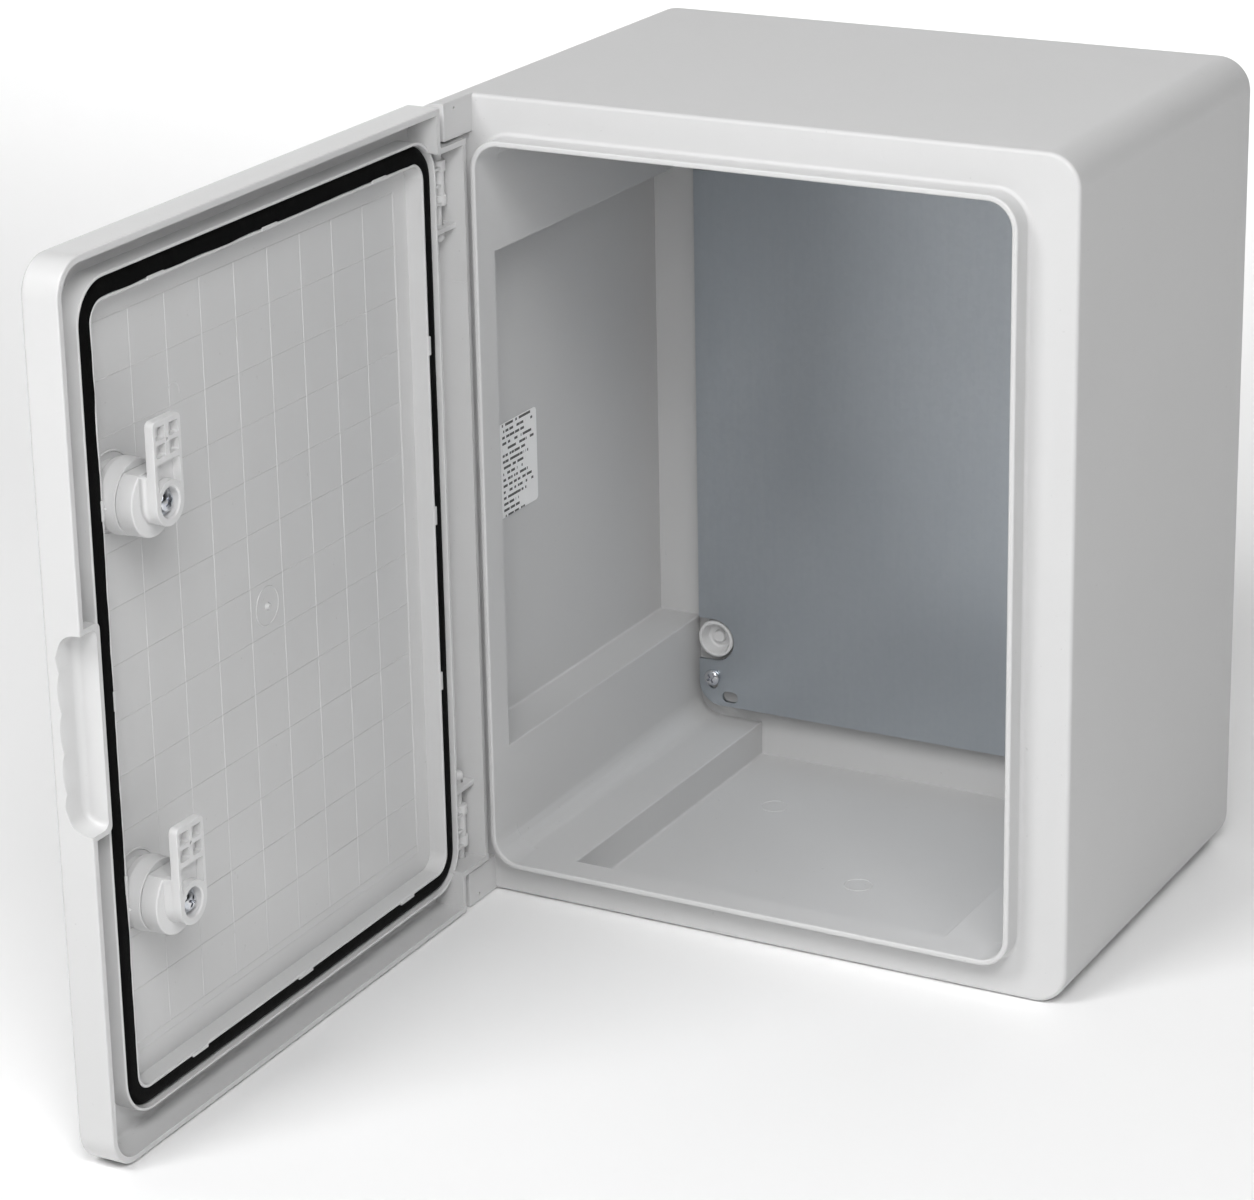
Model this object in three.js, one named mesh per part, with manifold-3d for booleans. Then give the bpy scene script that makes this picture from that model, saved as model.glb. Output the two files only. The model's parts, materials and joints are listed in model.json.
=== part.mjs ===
// Wall-mounting plastic enclosure for a fire alarm control panel: moulded body, hinged door with
// gasket, two quarter-turn cam locks, two retractable hinge pins and a steel mounting plate.
// Millimetres, +Z up. The origin is the centre of the underside. +Y runs to the back wall, and the
// hinges are on the -X side. The door stands open at REST_OPENING.

import * as THREE from 'three';
import { mergeVertices } from 'three/addons/utils/BufferGeometryUtils.js';
import Module from 'manifold-3d';

const wasm = await Module();
wasm.setup();

// Body
const WIDTH = 320;
const HEIGHT = 400;
const DEPTH = 212;
const BODY_CORNER = 16;
const WALL = 3;
const LEFT = -WIDTH / 2;
const RIGHT = WIDTH / 2;
const FRONT = -DEPTH / 2;
const BACK = DEPTH / 2;
const MIDDLE = HEIGHT / 2;

// Collar round the opening, on which the gasket closes
const COLLAR_HEIGHT = 12;
const COLLAR_WALL = 2.8;
const OPENING_SIDE = 26.5;
const OPENING_END = 21.3;
const OPENING_CORNER = 12.2;

// Interior: back wall and the deep panels moulded outwards in all four sides
const BACK_WALL_INNER = BACK - 5.5;
const BACK_WALL = 3;
const SIDE_PANEL_FROM = 76;
const FLOOR_PANEL_FROM = 62.5;
const PANEL_FRONT = FRONT + 4;

// Mounting plate and its fixings
const PLATE_FRONT = BACK - 16;
const PLATE_THICKNESS = 2;
const PLATE_SIDE = 31;
const PLATE_END = 31;
const PLATE_CORNER = 12;
const SCREW_SIDE = 39;
const SCREW_END = 46.5;
const WALL_HOLE_SIDE = 40;
const WALL_HOLE_END = 67.5;
const WALL_HOLE_RADIUS = 4.5;
const SLOT_SIDE = 49;
const SLOT_END = 36.5;

// Hinge
const EAR_WIDTH = 19;
const EAR_HEIGHT = 18;
const EAR_LENGTH = 25.2;
const HINGE = new THREE.Vector2(LEFT + 9.5, FRONT - 17.5);
const REST_OPENING = THREE.MathUtils.degToRad(89.5);
const ROD_RADIUS = 2.2;
const BORE_RADIUS = 2.6;

// Door, drawn in its closed position
const DOOR_FACE = FRONT - 25;
const DOOR_HEIGHT = 18.5;
const DOOR_GAP = 0.5;
const DOOR_SKIN = 3;
const DOOR_EDGE_ROUNDING = 2.4;
const SEAL_BASE = DOOR_FACE + DOOR_SKIN;
const RIB_TOP = DOOR_FACE + 13.2;
const GASKET_TOP = DOOR_FACE + 12.6;
const GASKET_HALF_WIDTH = 3.65;
const RIB_THICKNESS = 2.1;
const NOTCH_SIDE = 23.5;
const NOTCH_END = 19.4;
const NOTCH_WALL = 2.6;

// Finger grip in the door's free edge
const GRIP_LENGTH = 88;
const GRIP_DEPTH = 11.5;
const GRIP_FLOOR = DOOR_FACE + 5.5;
const GRIP_WALL = 2.4;
const FINGERS = 5;
const FINGER_SAG = 1.6;

// Locks
const LOCK_X = RIGHT - 48;
const LOCK_OFFSET = 89;
const LOCK_HOLE = 11;

// Gap between pieces that touch
const GAP = 0.3;

const materials = {
  body: { color: 0xcfd0d2, roughness: 0.5, metalness: 0 },
  door: { color: 0xd3d4d6, roughness: 0.45, metalness: 0 },
  fitting: { color: 0xd8d9d8, roughness: 0.42, metalness: 0 },
  rubber: { color: 0x151515, roughness: 0.8, metalness: 0 },
  galvanised: { color: 0x9ba3a6, roughness: 0.45, metalness: 0.9 },
  zinc: { color: 0xb9c0c6, roughness: 0.28, metalness: 1 },
  label: { color: 0xf1f1ef, roughness: 0.6, metalness: 0 },
};

// --- Solids -------------------------------------------------------------------------------------

// Closed solid of a three.js geometry, with its faces pointing out.
function solid(geometry) {
  const bare = geometry.clone();
  bare.deleteAttribute('normal');
  bare.deleteAttribute('uv');
  const merged = mergeVertices(bare, 1e-4);
  const position = merged.attributes.position;
  const index = merged.index.array;
  const corners = [new THREE.Vector3(), new THREE.Vector3(), new THREE.Vector3()];
  const triangles = [];
  let volume = 0;
  for (let i = 0; i < index.length; i += 3) {
    const triangle = [index[i], index[i + 1], index[i + 2]];
    if (new Set(triangle).size < 3) continue;
    corners.forEach((corner, k) => corner.fromBufferAttribute(position, triangle[k]));
    volume += corners[0].dot(corners[1].clone().cross(corners[2]));
    triangles.push(triangle);
  }
  if (volume < 0) triangles.forEach((triangle) => triangle.reverse());
  const mesh = new wasm.Mesh({
    numProp: 3,
    vertProperties: new Float32Array(position.array),
    triVerts: new Uint32Array(triangles.flat()),
  });
  return new wasm.Manifold(mesh);
}

function toGeometry(manifold) {
  const { vertProperties, triVerts } = manifold.getMesh();
  const geometry = new THREE.BufferGeometry();
  geometry.setAttribute('position', new THREE.BufferAttribute(new Float32Array(vertProperties), 3));
  geometry.setIndex(new THREE.BufferAttribute(new Uint32Array(triVerts), 1));
  geometry.computeVertexNormals();
  return geometry;
}

function box(x0, x1, y0, y1, z0, z1) {
  const geometry = new THREE.BoxGeometry(x1 - x0, y1 - y0, z1 - z0);
  return solid(geometry.translate((x0 + x1) / 2, (y0 + y1) / 2, (z0 + z1) / 2));
}

// Rectangle with round corners in the X-Z plane.
function roundedRectangle(x0, x1, z0, z1, radius, Kind = THREE.Shape) {
  const outline = new Kind();
  const quarter = Math.PI / 2;
  outline.absarc(x1 - radius, z1 - radius, radius, 0, quarter);
  outline.absarc(x0 + radius, z1 - radius, radius, quarter, 2 * quarter);
  outline.absarc(x0 + radius, z0 + radius, radius, 2 * quarter, 3 * quarter);
  outline.absarc(x1 - radius, z0 + radius, radius, 3 * quarter, 4 * quarter);
  outline.closePath();
  return outline;
}

// A shape drawn in X-Z, carried from y0 back to y1.
function prism(shape, y0, y1, curveSegments = 7) {
  const options = { depth: y1 - y0, bevelEnabled: false, curveSegments };
  return solid(new THREE.ExtrudeGeometry(shape, options).rotateX(Math.PI / 2).translate(0, y1, 0));
}

// Revolved solid about a line along Y through (x, z). The profile is [radius, y] pairs.
function turned(profile, x, z, segments = 24) {
  const points = profile.map(([radius, y]) => new THREE.Vector2(radius, y));
  return solid(new THREE.LatheGeometry(points, segments).translate(x, 0, z));
}

// Revolved solid about the vertical through (x, y). The profile is [radius, z] pairs.
function turnedUpright(profile, x, y, segments = 16) {
  const points = profile.map(([radius, z]) => new THREE.Vector2(radius, z));
  const geometry = new THREE.LatheGeometry(points, segments).rotateX(Math.PI / 2);
  return solid(geometry.translate(x, y, 0));
}

function rod(radius, y0, y1, x, z, segments = 24) {
  return turned([[0, y0], [radius, y0], [radius, y1], [0, y1]], x, z, segments);
}

function uprightRod(radius, z0, z1, x, y, segments = 16) {
  return turnedUpright([[0, z0], [radius, z0], [radius, z1], [0, z1]], x, y, segments);
}

function slot(x, z, width, height, y0, y1) {
  const radius = Math.min(width, height) / 2 - 0.01;
  const outline = roundedRectangle(x - width / 2, x + width / 2, z - height / 2, z + height / 2, radius);
  return prism(outline, y0, y1, 5);
}

const joined = (parts) => parts.reduce((whole, part) => whole.add(part));

// The same solid at the four corners of the front view.
function atFourCorners(make) {
  const signs = [[-1, -1], [1, -1], [-1, 1], [1, 1]];
  return signs.map(([sideways, upward]) => make(sideways, upward));
}

const cornerX = (sideways, inset) => sideways * (WIDTH / 2 - inset);
const cornerZ = (upward, inset) => MIDDLE + upward * (HEIGHT / 2 - inset);

function named(name, shape, material) {
  const mesh = new THREE.Mesh(toGeometry(shape), new THREE.MeshStandardMaterial(materials[material]));
  mesh.name = name;
  return mesh;
}

// --- Body ---------------------------------------------------------------------------------------

// Rectangle in the front view, set in from the body's outline.
function inset(side, end, radius, Kind) {
  return roundedRectangle(LEFT + side, RIGHT - side, end, HEIGHT - end, radius, Kind);
}

function boxBetween(a, b) {
  return box(
    Math.min(a[0], b[0]), Math.max(a[0], b[0]),
    Math.min(a[1], b[1]), Math.max(a[1], b[1]),
    Math.min(a[2], b[2]), Math.max(a[2], b[2]),
  );
}

function hingeEars() {
  const outline = prism(inset(0, 0, BODY_CORNER), FRONT - EAR_LENGTH, FRONT + 1);
  const blocks = [EAR_HEIGHT / 2, HEIGHT - EAR_HEIGHT / 2].map((z) => box(
    LEFT - 1, LEFT + EAR_WIDTH, FRONT - EAR_LENGTH, FRONT + 1, z - EAR_HEIGHT / 2, z + EAR_HEIGHT / 2,
  ));
  const bores = [[EAR_HEIGHT - 11, EAR_HEIGHT + 1], [HEIGHT - EAR_HEIGHT - 1, HEIGHT - EAR_HEIGHT + 11]];
  const cuts = bores.map(([z0, z1]) => uprightRod(BORE_RADIUS, z0, z1, HINGE.x, HINGE.y));
  return outline.intersect(joined(blocks)).subtract(joined(cuts));
}

// The deep panels, moulded outwards to the outer skin between the four corner masses.
function sidePanels() {
  const sides = box(LEFT + WALL, RIGHT - WALL, PANEL_FRONT, BACK_WALL_INNER,
    SIDE_PANEL_FROM, HEIGHT - SIDE_PANEL_FROM);
  const ends = box(LEFT + FLOOR_PANEL_FROM, RIGHT - FLOOR_PANEL_FROM, PANEL_FRONT, BACK_WALL_INNER,
    WALL, HEIGHT - WALL);
  return sides.add(ends);
}

// The corner masses are hollow and open at the back.
function cornerPockets() {
  const outerLimit = prism(inset(WALL, WALL, BODY_CORNER - WALL), PANEL_FRONT + WALL, BACK + 1);
  const pockets = atFourCorners((sideways, upward) => {
    const x = (distance) => cornerX(sideways, distance);
    const z = (distance) => cornerZ(upward, distance);
    const upright = boxBetween(
      [x(0), PANEL_FRONT + WALL, z(0)],
      [x(OPENING_SIDE - WALL), BACK + 1, z(SIDE_PANEL_FROM - WALL)],
    );
    const level = boxBetween(
      [x(0), PANEL_FRONT + WALL, z(0)],
      [x(FLOOR_PANEL_FROM - WALL), BACK + 1, z(OPENING_END - WALL)],
    );
    return upright.add(level);
  });
  return joined(pockets).intersect(outerLimit);
}

// Shallow hollow in the rear of the body, leaving four pads that meet the wall.
function rearHollow() {
  const hollow = prism(inset(WALL, WALL, BODY_CORNER - WALL), BACK_WALL_INNER + BACK_WALL, BACK + 1);
  const pads = atFourCorners((sideways, upward) => boxBetween(
    [cornerX(sideways, OPENING_SIDE - WALL), BACK_WALL_INNER, cornerZ(upward, OPENING_END - WALL)],
    [cornerX(sideways, 64), BACK + 2, cornerZ(upward, SIDE_PANEL_FROM + 4)],
  ));
  return hollow.subtract(joined(pads));
}

function makeBody() {
  const outside = joined([
    prism(inset(0, 0, BODY_CORNER), FRONT, BACK),
    prism(
      inset(OPENING_SIDE - COLLAR_WALL, OPENING_END - COLLAR_WALL, OPENING_CORNER + COLLAR_WALL),
      FRONT - COLLAR_HEIGHT, FRONT + 1,
    ),
    hingeEars(),
  ]);
  const tunnel = prism(inset(OPENING_SIDE, OPENING_END, OPENING_CORNER),
    FRONT - COLLAR_HEIGHT - 1, BACK_WALL_INNER);
  const bosses = atFourCorners((sideways, upward) => rod(
    5.5, PLATE_FRONT + PLATE_THICKNESS + GAP, BACK_WALL_INNER + 1,
    cornerX(sideways, SCREW_SIDE), cornerZ(upward, SCREW_END), 16,
  ));
  const pilotHoles = atFourCorners((sideways, upward) => rod(
    BORE_RADIUS, PLATE_FRONT, BACK_WALL_INNER + 2,
    cornerX(sideways, SCREW_SIDE), cornerZ(upward, SCREW_END), 12,
  ));
  const wallHoles = atFourCorners((sideways, upward) => rod(
    WALL_HOLE_RADIUS, BACK_WALL_INNER - 1, BACK + 1,
    cornerX(sideways, WALL_HOLE_SIDE), cornerZ(upward, WALL_HOLE_END), 16,
  ));
  return outside
    .subtract(tunnel)
    .subtract(sidePanels())
    .subtract(cornerPockets())
    .subtract(rearHollow())
    .add(joined(bosses))
    .subtract(joined([...pilotHoles, ...wallHoles]));
}

// --- Mounting plate and small fixings -------------------------------------------------------------

function makePlate() {
  const back = PLATE_FRONT + PLATE_THICKNESS;
  const sheet = prism(inset(PLATE_SIDE, PLATE_END, PLATE_CORNER), PLATE_FRONT, back, 4);
  const cuts = atFourCorners((sideways, upward) => {
    const plugNotch = slot(cornerX(sideways, WALL_HOLE_SIDE - 4), cornerZ(upward, WALL_HOLE_END),
      31, 23, PLATE_FRONT - 1, back + 1);
    const screwSlot = slot(cornerX(sideways, SCREW_SIDE), cornerZ(upward, SCREW_END - 1.5),
      6, 10, PLATE_FRONT - 1, back + 1);
    const spareSlot = slot(cornerX(sideways, SLOT_SIDE), cornerZ(upward, SLOT_END),
      9, 6, PLATE_FRONT - 1, back + 1);
    return joined([plugNotch, screwSlot, spareSlot]);
  });
  return sheet.subtract(joined(cuts));
}

// Pan-head screw along Y with a cross recess. The head stands on its seat towards facing (-1 or 1).
function panScrew({ x, z, seat, facing, headRadius, headHeight, shankRadius, length }) {
  const along = (height) => seat + facing * height;
  const profile = [
    [0, along(headHeight)], [headRadius * 0.55, along(headHeight)],
    [headRadius * 0.88, along(headHeight * 0.72)], [headRadius, along(headHeight * 0.35)],
    [headRadius, seat], [shankRadius, seat], [shankRadius, along(-length)], [0, along(-length)],
  ];
  const arm = headRadius * 0.55;
  const half = headRadius * 0.11;
  const cut = (halfX, halfZ) => boxBetween(
    [x - halfX, along(headHeight * 0.45), z - halfZ], [x + halfX, along(headHeight + 1), z + halfZ],
  );
  return turned(profile, x, z, 16).subtract(cut(arm, half).add(cut(half, arm)));
}

function makePlateScrew(sideways, upward) {
  return panScrew({
    x: cornerX(sideways, SCREW_SIDE), z: cornerZ(upward, SCREW_END), seat: PLATE_FRONT - GAP,
    facing: -1, headRadius: 4.4, headHeight: 3, shankRadius: 2.2, length: 10.6,
  });
}

// Cup-shaped plug that closes a wall-fixing hole from inside.
function makeWallPlug(sideways, upward) {
  const seat = BACK_WALL_INNER - GAP;
  const profile = [
    [0, seat - 3.2], [3.6, seat - 3.2], [3.6, seat - 2.4], [7, seat - 2.4], [8.8, seat - 9],
    [10.2, seat - 9], [10.2, seat], [4.1, seat], [4.1, seat + 5], [0, seat + 5],
  ];
  return turned(profile, cornerX(sideways, WALL_HOLE_SIDE), cornerZ(upward, WALL_HOLE_END), 20);
}

function makeLabel() {
  const wall = LEFT + WALL + GAP;
  return box(wall, wall + 0.4, FRONT + 41, FRONT + 78, 177, 225);
}

// --- Door -----------------------------------------------------------------------------------------

// Ring in the X-Z plane that follows the collar's middle line, between two distances from it.
function collarRing(inner, outer, y0, y1) {
  const half = COLLAR_WALL / 2;
  const side = OPENING_SIDE - half;
  const end = OPENING_END - half;
  const corner = OPENING_CORNER + half;
  const shape = inset(side - outer, end - outer, corner + outer);
  shape.holes.push(inset(side - inner, end - inner, corner + inner, THREE.Path));
  return prism(shape, y0, y1, 6);
}

function doorTray() {
  const round = DOOR_EDGE_ROUNDING;
  const shape = inset(DOOR_GAP + round, DOOR_GAP + round, BODY_CORNER - round);
  const options = {
    depth: DOOR_HEIGHT, bevelEnabled: true, bevelSize: round, bevelThickness: round,
    bevelSegments: 2, curveSegments: 7,
  };
  const block = new THREE.ExtrudeGeometry(shape, options).rotateX(Math.PI / 2);
  const lip = DOOR_FACE + DOOR_HEIGHT;
  const slab = solid(block.translate(0, DOOR_FACE + round + DOOR_HEIGHT, 0))
    .intersect(box(LEFT, RIGHT, DOOR_FACE - 1, lip, 0, HEIGHT));
  const edge = DOOR_GAP + DOOR_SKIN;
  return slab.subtract(prism(inset(edge, edge, BODY_CORNER - edge), SEAL_BASE, lip + 1));
}

// Outline of the finger grip, seen from the free side, in (y, z). The outer edge is scalloped.
function gripOutline(margin) {
  const lip = DOOR_FACE + DOOR_HEIGHT + 1;
  const floor = GRIP_FLOOR - margin;
  const half = GRIP_LENGTH / 2 + margin;
  const pitch = GRIP_LENGTH / FINGERS;
  const outline = [[lip, MIDDLE - half], [floor + 5, MIDDLE - half]];
  const steps = 6;
  for (let finger = 0; finger < FINGERS; finger += 1) {
    for (let step = 0; step < steps; step += 1) {
      const share = step / steps;
      if (finger === 0 && step < 2) continue;
      if (finger === FINGERS - 1 && step > 4) continue;
      const z = MIDDLE - GRIP_LENGTH / 2 + pitch * (finger + share);
      outline.push([floor + FINGER_SAG * (1 - Math.sin(Math.PI * share)), z]);
    }
  }
  outline.push([floor + 5, MIDDLE + half], [lip, MIDDLE + half]);
  return outline;
}

function gripBlock(margin) {
  const shape = new THREE.Shape(gripOutline(margin).map(([y, z]) => new THREE.Vector2(y, z)));
  const depth = GRIP_DEPTH + margin;
  const geometry = new THREE.ExtrudeGeometry(shape, { depth: depth + 5, bevelEnabled: false });
  geometry.applyMatrix4(new THREE.Matrix4().makeBasis(
    new THREE.Vector3(0, 1, 0), new THREE.Vector3(0, 0, 1), new THREE.Vector3(1, 0, 0),
  ));
  return solid(geometry.translate(RIGHT - DOOR_GAP - depth, 0, 0));
}

// Walls that close the door round a hinge ear: one level, bored for the pin, and one upright.
function notchWalls(upward) {
  const lip = DOOR_FACE + DOOR_HEIGHT;
  const level = boxBetween(
    [LEFT + DOOR_GAP, SEAL_BASE - 1, cornerZ(upward, NOTCH_END)],
    [LEFT + NOTCH_SIDE + NOTCH_WALL, lip, cornerZ(upward, NOTCH_END + NOTCH_WALL)],
  );
  const upright = boxBetween(
    [LEFT + NOTCH_SIDE, SEAL_BASE - 1, cornerZ(upward, DOOR_GAP + 1)],
    [LEFT + NOTCH_SIDE + NOTCH_WALL, lip, cornerZ(upward, NOTCH_END + NOTCH_WALL)],
  );
  return level.add(upright);
}

function notch(upward) {
  return boxBetween(
    [LEFT - 1, DOOR_FACE - 1, cornerZ(upward, -1)],
    [LEFT + NOTCH_SIDE, FRONT, cornerZ(upward, NOTCH_END)],
  );
}

// Distances of the hinge pin's parts from the top or bottom of the enclosure.
const PIN = {
  tip: 10.5,
  collar: [28.4, 34],
  barrelEnd: 45,
  secondCollar: [45, 50],
  shelf: [59.3, 61.8],
  ball: 65,
};

// Shelf that guides the pin's tail, and ribs beside its collars.
function pinGuides(upward) {
  const ribSide = LEFT + OPENING_SIDE - COLLAR_WALL / 2 - GASKET_HALF_WIDTH - RIB_THICKNESS;
  const level = (from, to, x0, x1, y1) => boxBetween(
    [x0, SEAL_BASE - 1, cornerZ(upward, from)], [x1, y1, cornerZ(upward, to)],
  );
  const outer = LEFT + DOOR_GAP + 1;
  const inner = ribSide + 1;
  const shelf = level(PIN.shelf[0], PIN.shelf[1], outer, inner, DOOR_FACE + 13.2);
  const ribs = [30.4, 38.5, 46.8].map((from) => level(from, from + 1.4, HINGE.x + 5.3, inner, DOOR_FACE + 11));
  return joined([shelf, ...ribs]);
}

function makeDoorShell() {
  const lockHoles = [-1, 1].map((upward) => rod(
    LOCK_HOLE, DOOR_FACE - 1, DOOR_FACE + 8, LOCK_X, MIDDLE + upward * LOCK_OFFSET, 24,
  ));
  const lockBosses = [-1, 1].map((upward) => rod(
    14.5, SEAL_BASE - 1, DOOR_FACE + 6.5, LOCK_X, MIDDLE + upward * LOCK_OFFSET, 24,
  ));
  const pinBores = [-1, 1].map((upward) => {
    const ends = [cornerZ(upward, 0), cornerZ(upward, 66)];
    return uprightRod(BORE_RADIUS, Math.min(...ends), Math.max(...ends), HINGE.x, HINGE.y, 12);
  });
  const tray = doorTray();
  const additions = [
    collarRing(GASKET_HALF_WIDTH, GASKET_HALF_WIDTH + RIB_THICKNESS, SEAL_BASE - 1, RIB_TOP),
    collarRing(-GASKET_HALF_WIDTH - RIB_THICKNESS, -GASKET_HALF_WIDTH, SEAL_BASE - 1, RIB_TOP),
    ...[-1, 1].map(notchWalls),
    ...[-1, 1].map(pinGuides),
    ...lockBosses,
  ];
  const lip = DOOR_FACE + DOOR_HEIGHT;
  const gripShell = gripBlock(GRIP_WALL)
    .intersect(box(LEFT, RIGHT - DOOR_GAP - 1, DOOR_FACE + 1, lip, 0, HEIGHT));
  return tray
    .add(joined(additions))
    .add(gripShell)
    .subtract(joined([...lockHoles, ...pinBores, ...[-1, 1].map(notch)]))
    .subtract(gripBlock(0));
}

function makeGasket() {
  const half = GASKET_HALF_WIDTH - GAP;
  return collarRing(-half, half, SEAL_BASE + GAP, GASKET_TOP);
}

// Retractable pin: rod into the ear, two collars on a barrel with a finger knob, tail with a ball.
function makeHingePin(upward) {
  const distances = [
    [0, PIN.tip], [1.4, PIN.tip], [ROD_RADIUS, PIN.tip + 1], [ROD_RADIUS, PIN.collar[0]],
    [4.1, PIN.collar[0]], [4.1, PIN.collar[1]], [3.3, PIN.collar[1]], [3.3, PIN.barrelEnd],
    [4.1, PIN.secondCollar[0]], [4.1, PIN.secondCollar[1]], [1.7, PIN.secondCollar[1]],
    [1.7, PIN.ball - 2.6], [2.9, PIN.ball - 1.2], [2.9, PIN.ball + 0.8], [1.8, PIN.ball + 2.4],
    [0, PIN.ball + 2.9],
  ];
  const profile = distances.map(([radius, distance]) => [radius, cornerZ(upward, distance)]);
  const knobZ = cornerZ(upward, 39.5);
  const knob = new THREE.CylinderGeometry(1.3, 1.7, 5, 12).rotateZ(-Math.PI / 2);
  return turnedUpright(profile, HINGE.x, HINGE.y)
    .add(solid(knob.translate(HINGE.x + 2.3, HINGE.y, knobZ)));
}

// --- Lock -------------------------------------------------------------------------------------------

const lockAt = (upward) => MIDDLE + upward * LOCK_OFFSET;

// Outside flange with the threaded barrel that passes through the door.
function makeLockHousing(upward) {
  const profile = [
    [7.6, DOOR_FACE - 3.4], [13.2, DOOR_FACE - 3.4], [14.4, DOOR_FACE - 2.6],
    [14.4, DOOR_FACE - 1.6], [LOCK_HOLE - 0.4, DOOR_FACE - 1.6],
    [LOCK_HOLE - 0.4, DOOR_FACE + 16.6], [7.6, DOOR_FACE + 16.6], [7.6, DOOR_FACE - 3.4],
  ];
  return turned(profile, LOCK_X, lockAt(upward), 28);
}

function makeLockSeal(upward) {
  const profile = [
    [11.4, DOOR_FACE - 1.3], [13.8, DOOR_FACE - 1.3], [13.8, DOOR_FACE - GAP],
    [11.4, DOOR_FACE - GAP], [11.4, DOOR_FACE - 1.3],
  ];
  return turned(profile, LOCK_X, lockAt(upward), 28);
}

// Cup-shaped nut inside the door.
function makeLockNut(upward) {
  const profile = [
    [LOCK_HOLE, DOOR_FACE + 6.8], [15.8, DOOR_FACE + 6.8], [16.7, DOOR_FACE + 9],
    [16.7, DOOR_FACE + 11.5], [15.4, DOOR_FACE + 17], [LOCK_HOLE, DOOR_FACE + 17],
    [LOCK_HOLE, DOOR_FACE + 6.8],
  ];
  return turned(profile, LOCK_X, lockAt(upward), 28);
}

const CAM_BACK = DOOR_FACE + 29.4;
const CAM_FRONT = DOOR_FACE + 33.6;
const CAM_HUB = DOOR_FACE + 17.4;
const CAM_HALF_WIDTH = 10;
const CAM_LENGTH = 36.5;

// Rotor with a screwdriver slot outside and a square end that carries the cam.
function makeLockRotor(upward) {
  const z = lockAt(upward);
  const body = rod(7.2, DOOR_FACE - 3, DOOR_FACE + 17, LOCK_X, z, 20);
  const square = box(LOCK_X - 4, LOCK_X + 4, DOOR_FACE + 16, DOOR_FACE + 25, z - 4, z + 4);
  const thread = rod(1.9, DOOR_FACE + 15, DOOR_FACE + 26, LOCK_X, z, 10);
  const slotCut = box(LOCK_X - 1.2, LOCK_X + 1.2, DOOR_FACE - 4, DOOR_FACE, z - 5.6, z + 5.6);
  return body.add(square).subtract(thread.add(slotCut));
}

// Cam: stepped hub disc, and an arm with four small pockets and a large one in its face.
function makeLockCam(upward) {
  const z = lockAt(upward);
  const arm = new THREE.Shape();
  const tip = CAM_LENGTH;
  const round = 2.5;
  arm.absarc(0, 0, CAM_HALF_WIDTH, Math.PI, 2 * Math.PI);
  arm.absarc(CAM_HALF_WIDTH - round, tip - round, round, 0, Math.PI / 2);
  arm.absarc(round - CAM_HALF_WIDTH, tip - round, round, Math.PI / 2, Math.PI);
  arm.closePath();
  const place = (item) => item.translate([LOCK_X, 0, z]);
  const blade = place(prism(arm, CAM_BACK, CAM_FRONT, 8));
  const root = place(prism(arm, CAM_HUB + 3, CAM_BACK + 1, 8))
    .intersect(box(LOCK_X - 20, LOCK_X + 20, CAM_HUB, CAM_FRONT, z - 20, z + 13));
  const hub = rod(16, CAM_HUB, CAM_HUB + 4, LOCK_X, z, 28)
    .intersect(box(LOCK_X - 20, LOCK_X + 20, CAM_HUB, CAM_FRONT, z - 20, z + 9));
  const pocketFloor = CAM_FRONT - 2.6;
  const pocket = (x0, x1, z0, z1) => box(
    LOCK_X + x0, LOCK_X + x1, pocketFloor, CAM_FRONT + 1, z + z0, z + z1,
  );
  const small = [-8, 1.3].flatMap((x) => [20.6, 28.2].map((low) => pocket(x, x + 6.7, low, low + 5.6)));
  const large = pocket(-8, 8, 6, 18.2).subtract(rod(9.2, pocketFloor - 1, CAM_FRONT + 2, LOCK_X, z, 20));
  const counterbore = rod(6.9, CAM_FRONT - 5, CAM_FRONT + 1, LOCK_X, z, 20);
  const square = box(LOCK_X - 4.3, LOCK_X + 4.3, CAM_HUB - 1, DOOR_FACE + 25.3, z - 4.3, z + 4.3);
  const through = rod(2.6, CAM_HUB, CAM_FRONT, LOCK_X, z, 12);
  return joined([blade, root, hub]).subtract(joined([...small, large, counterbore, square, through]));
}

const WASHER_BACK = CAM_FRONT - 5 + GAP;
const WASHER_FRONT = WASHER_BACK + 0.9;

function makeCamWasher(upward) {
  const profile = [
    [2.6, WASHER_BACK], [6.2, WASHER_BACK], [6.2, WASHER_FRONT], [2.6, WASHER_FRONT],
    [2.6, WASHER_BACK],
  ];
  return turned(profile, LOCK_X, lockAt(upward), 20);
}

function makeCamScrew(upward) {
  return panScrew({
    x: LOCK_X, z: lockAt(upward), seat: WASHER_FRONT + GAP,
    facing: 1, headRadius: 4.6, headHeight: 2.8, shankRadius: 1.6, length: 10.5,
  });
}

// --- Assembly ---------------------------------------------------------------------------------------

const enclosure = new THREE.Group();
enclosure.add(named('enclosure_body', makeBody(), 'body'));
enclosure.add(named('mounting_plate', makePlate(), 'galvanised'));
enclosure.add(named('data_label', makeLabel(), 'label'));
atFourCorners(makePlateScrew).forEach((screw, i) => {
  enclosure.add(named(`plate_screw_${i + 1}`, screw, 'zinc'));
});
atFourCorners(makeWallPlug).forEach((plug, i) => {
  enclosure.add(named(`wall_plug_${i + 1}`, plug, 'fitting'));
});

// The door turns about the hinge line. Its pieces are drawn closed and swung open together.
const hingeLine = new THREE.Group();
hingeLine.position.set(HINGE.x, HINGE.y, 0);
hingeLine.rotation.z = -REST_OPENING;
const leaf = new THREE.Group();
leaf.position.set(-HINGE.x, -HINGE.y, 0);
hingeLine.add(leaf);
enclosure.add(hingeLine);

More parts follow.
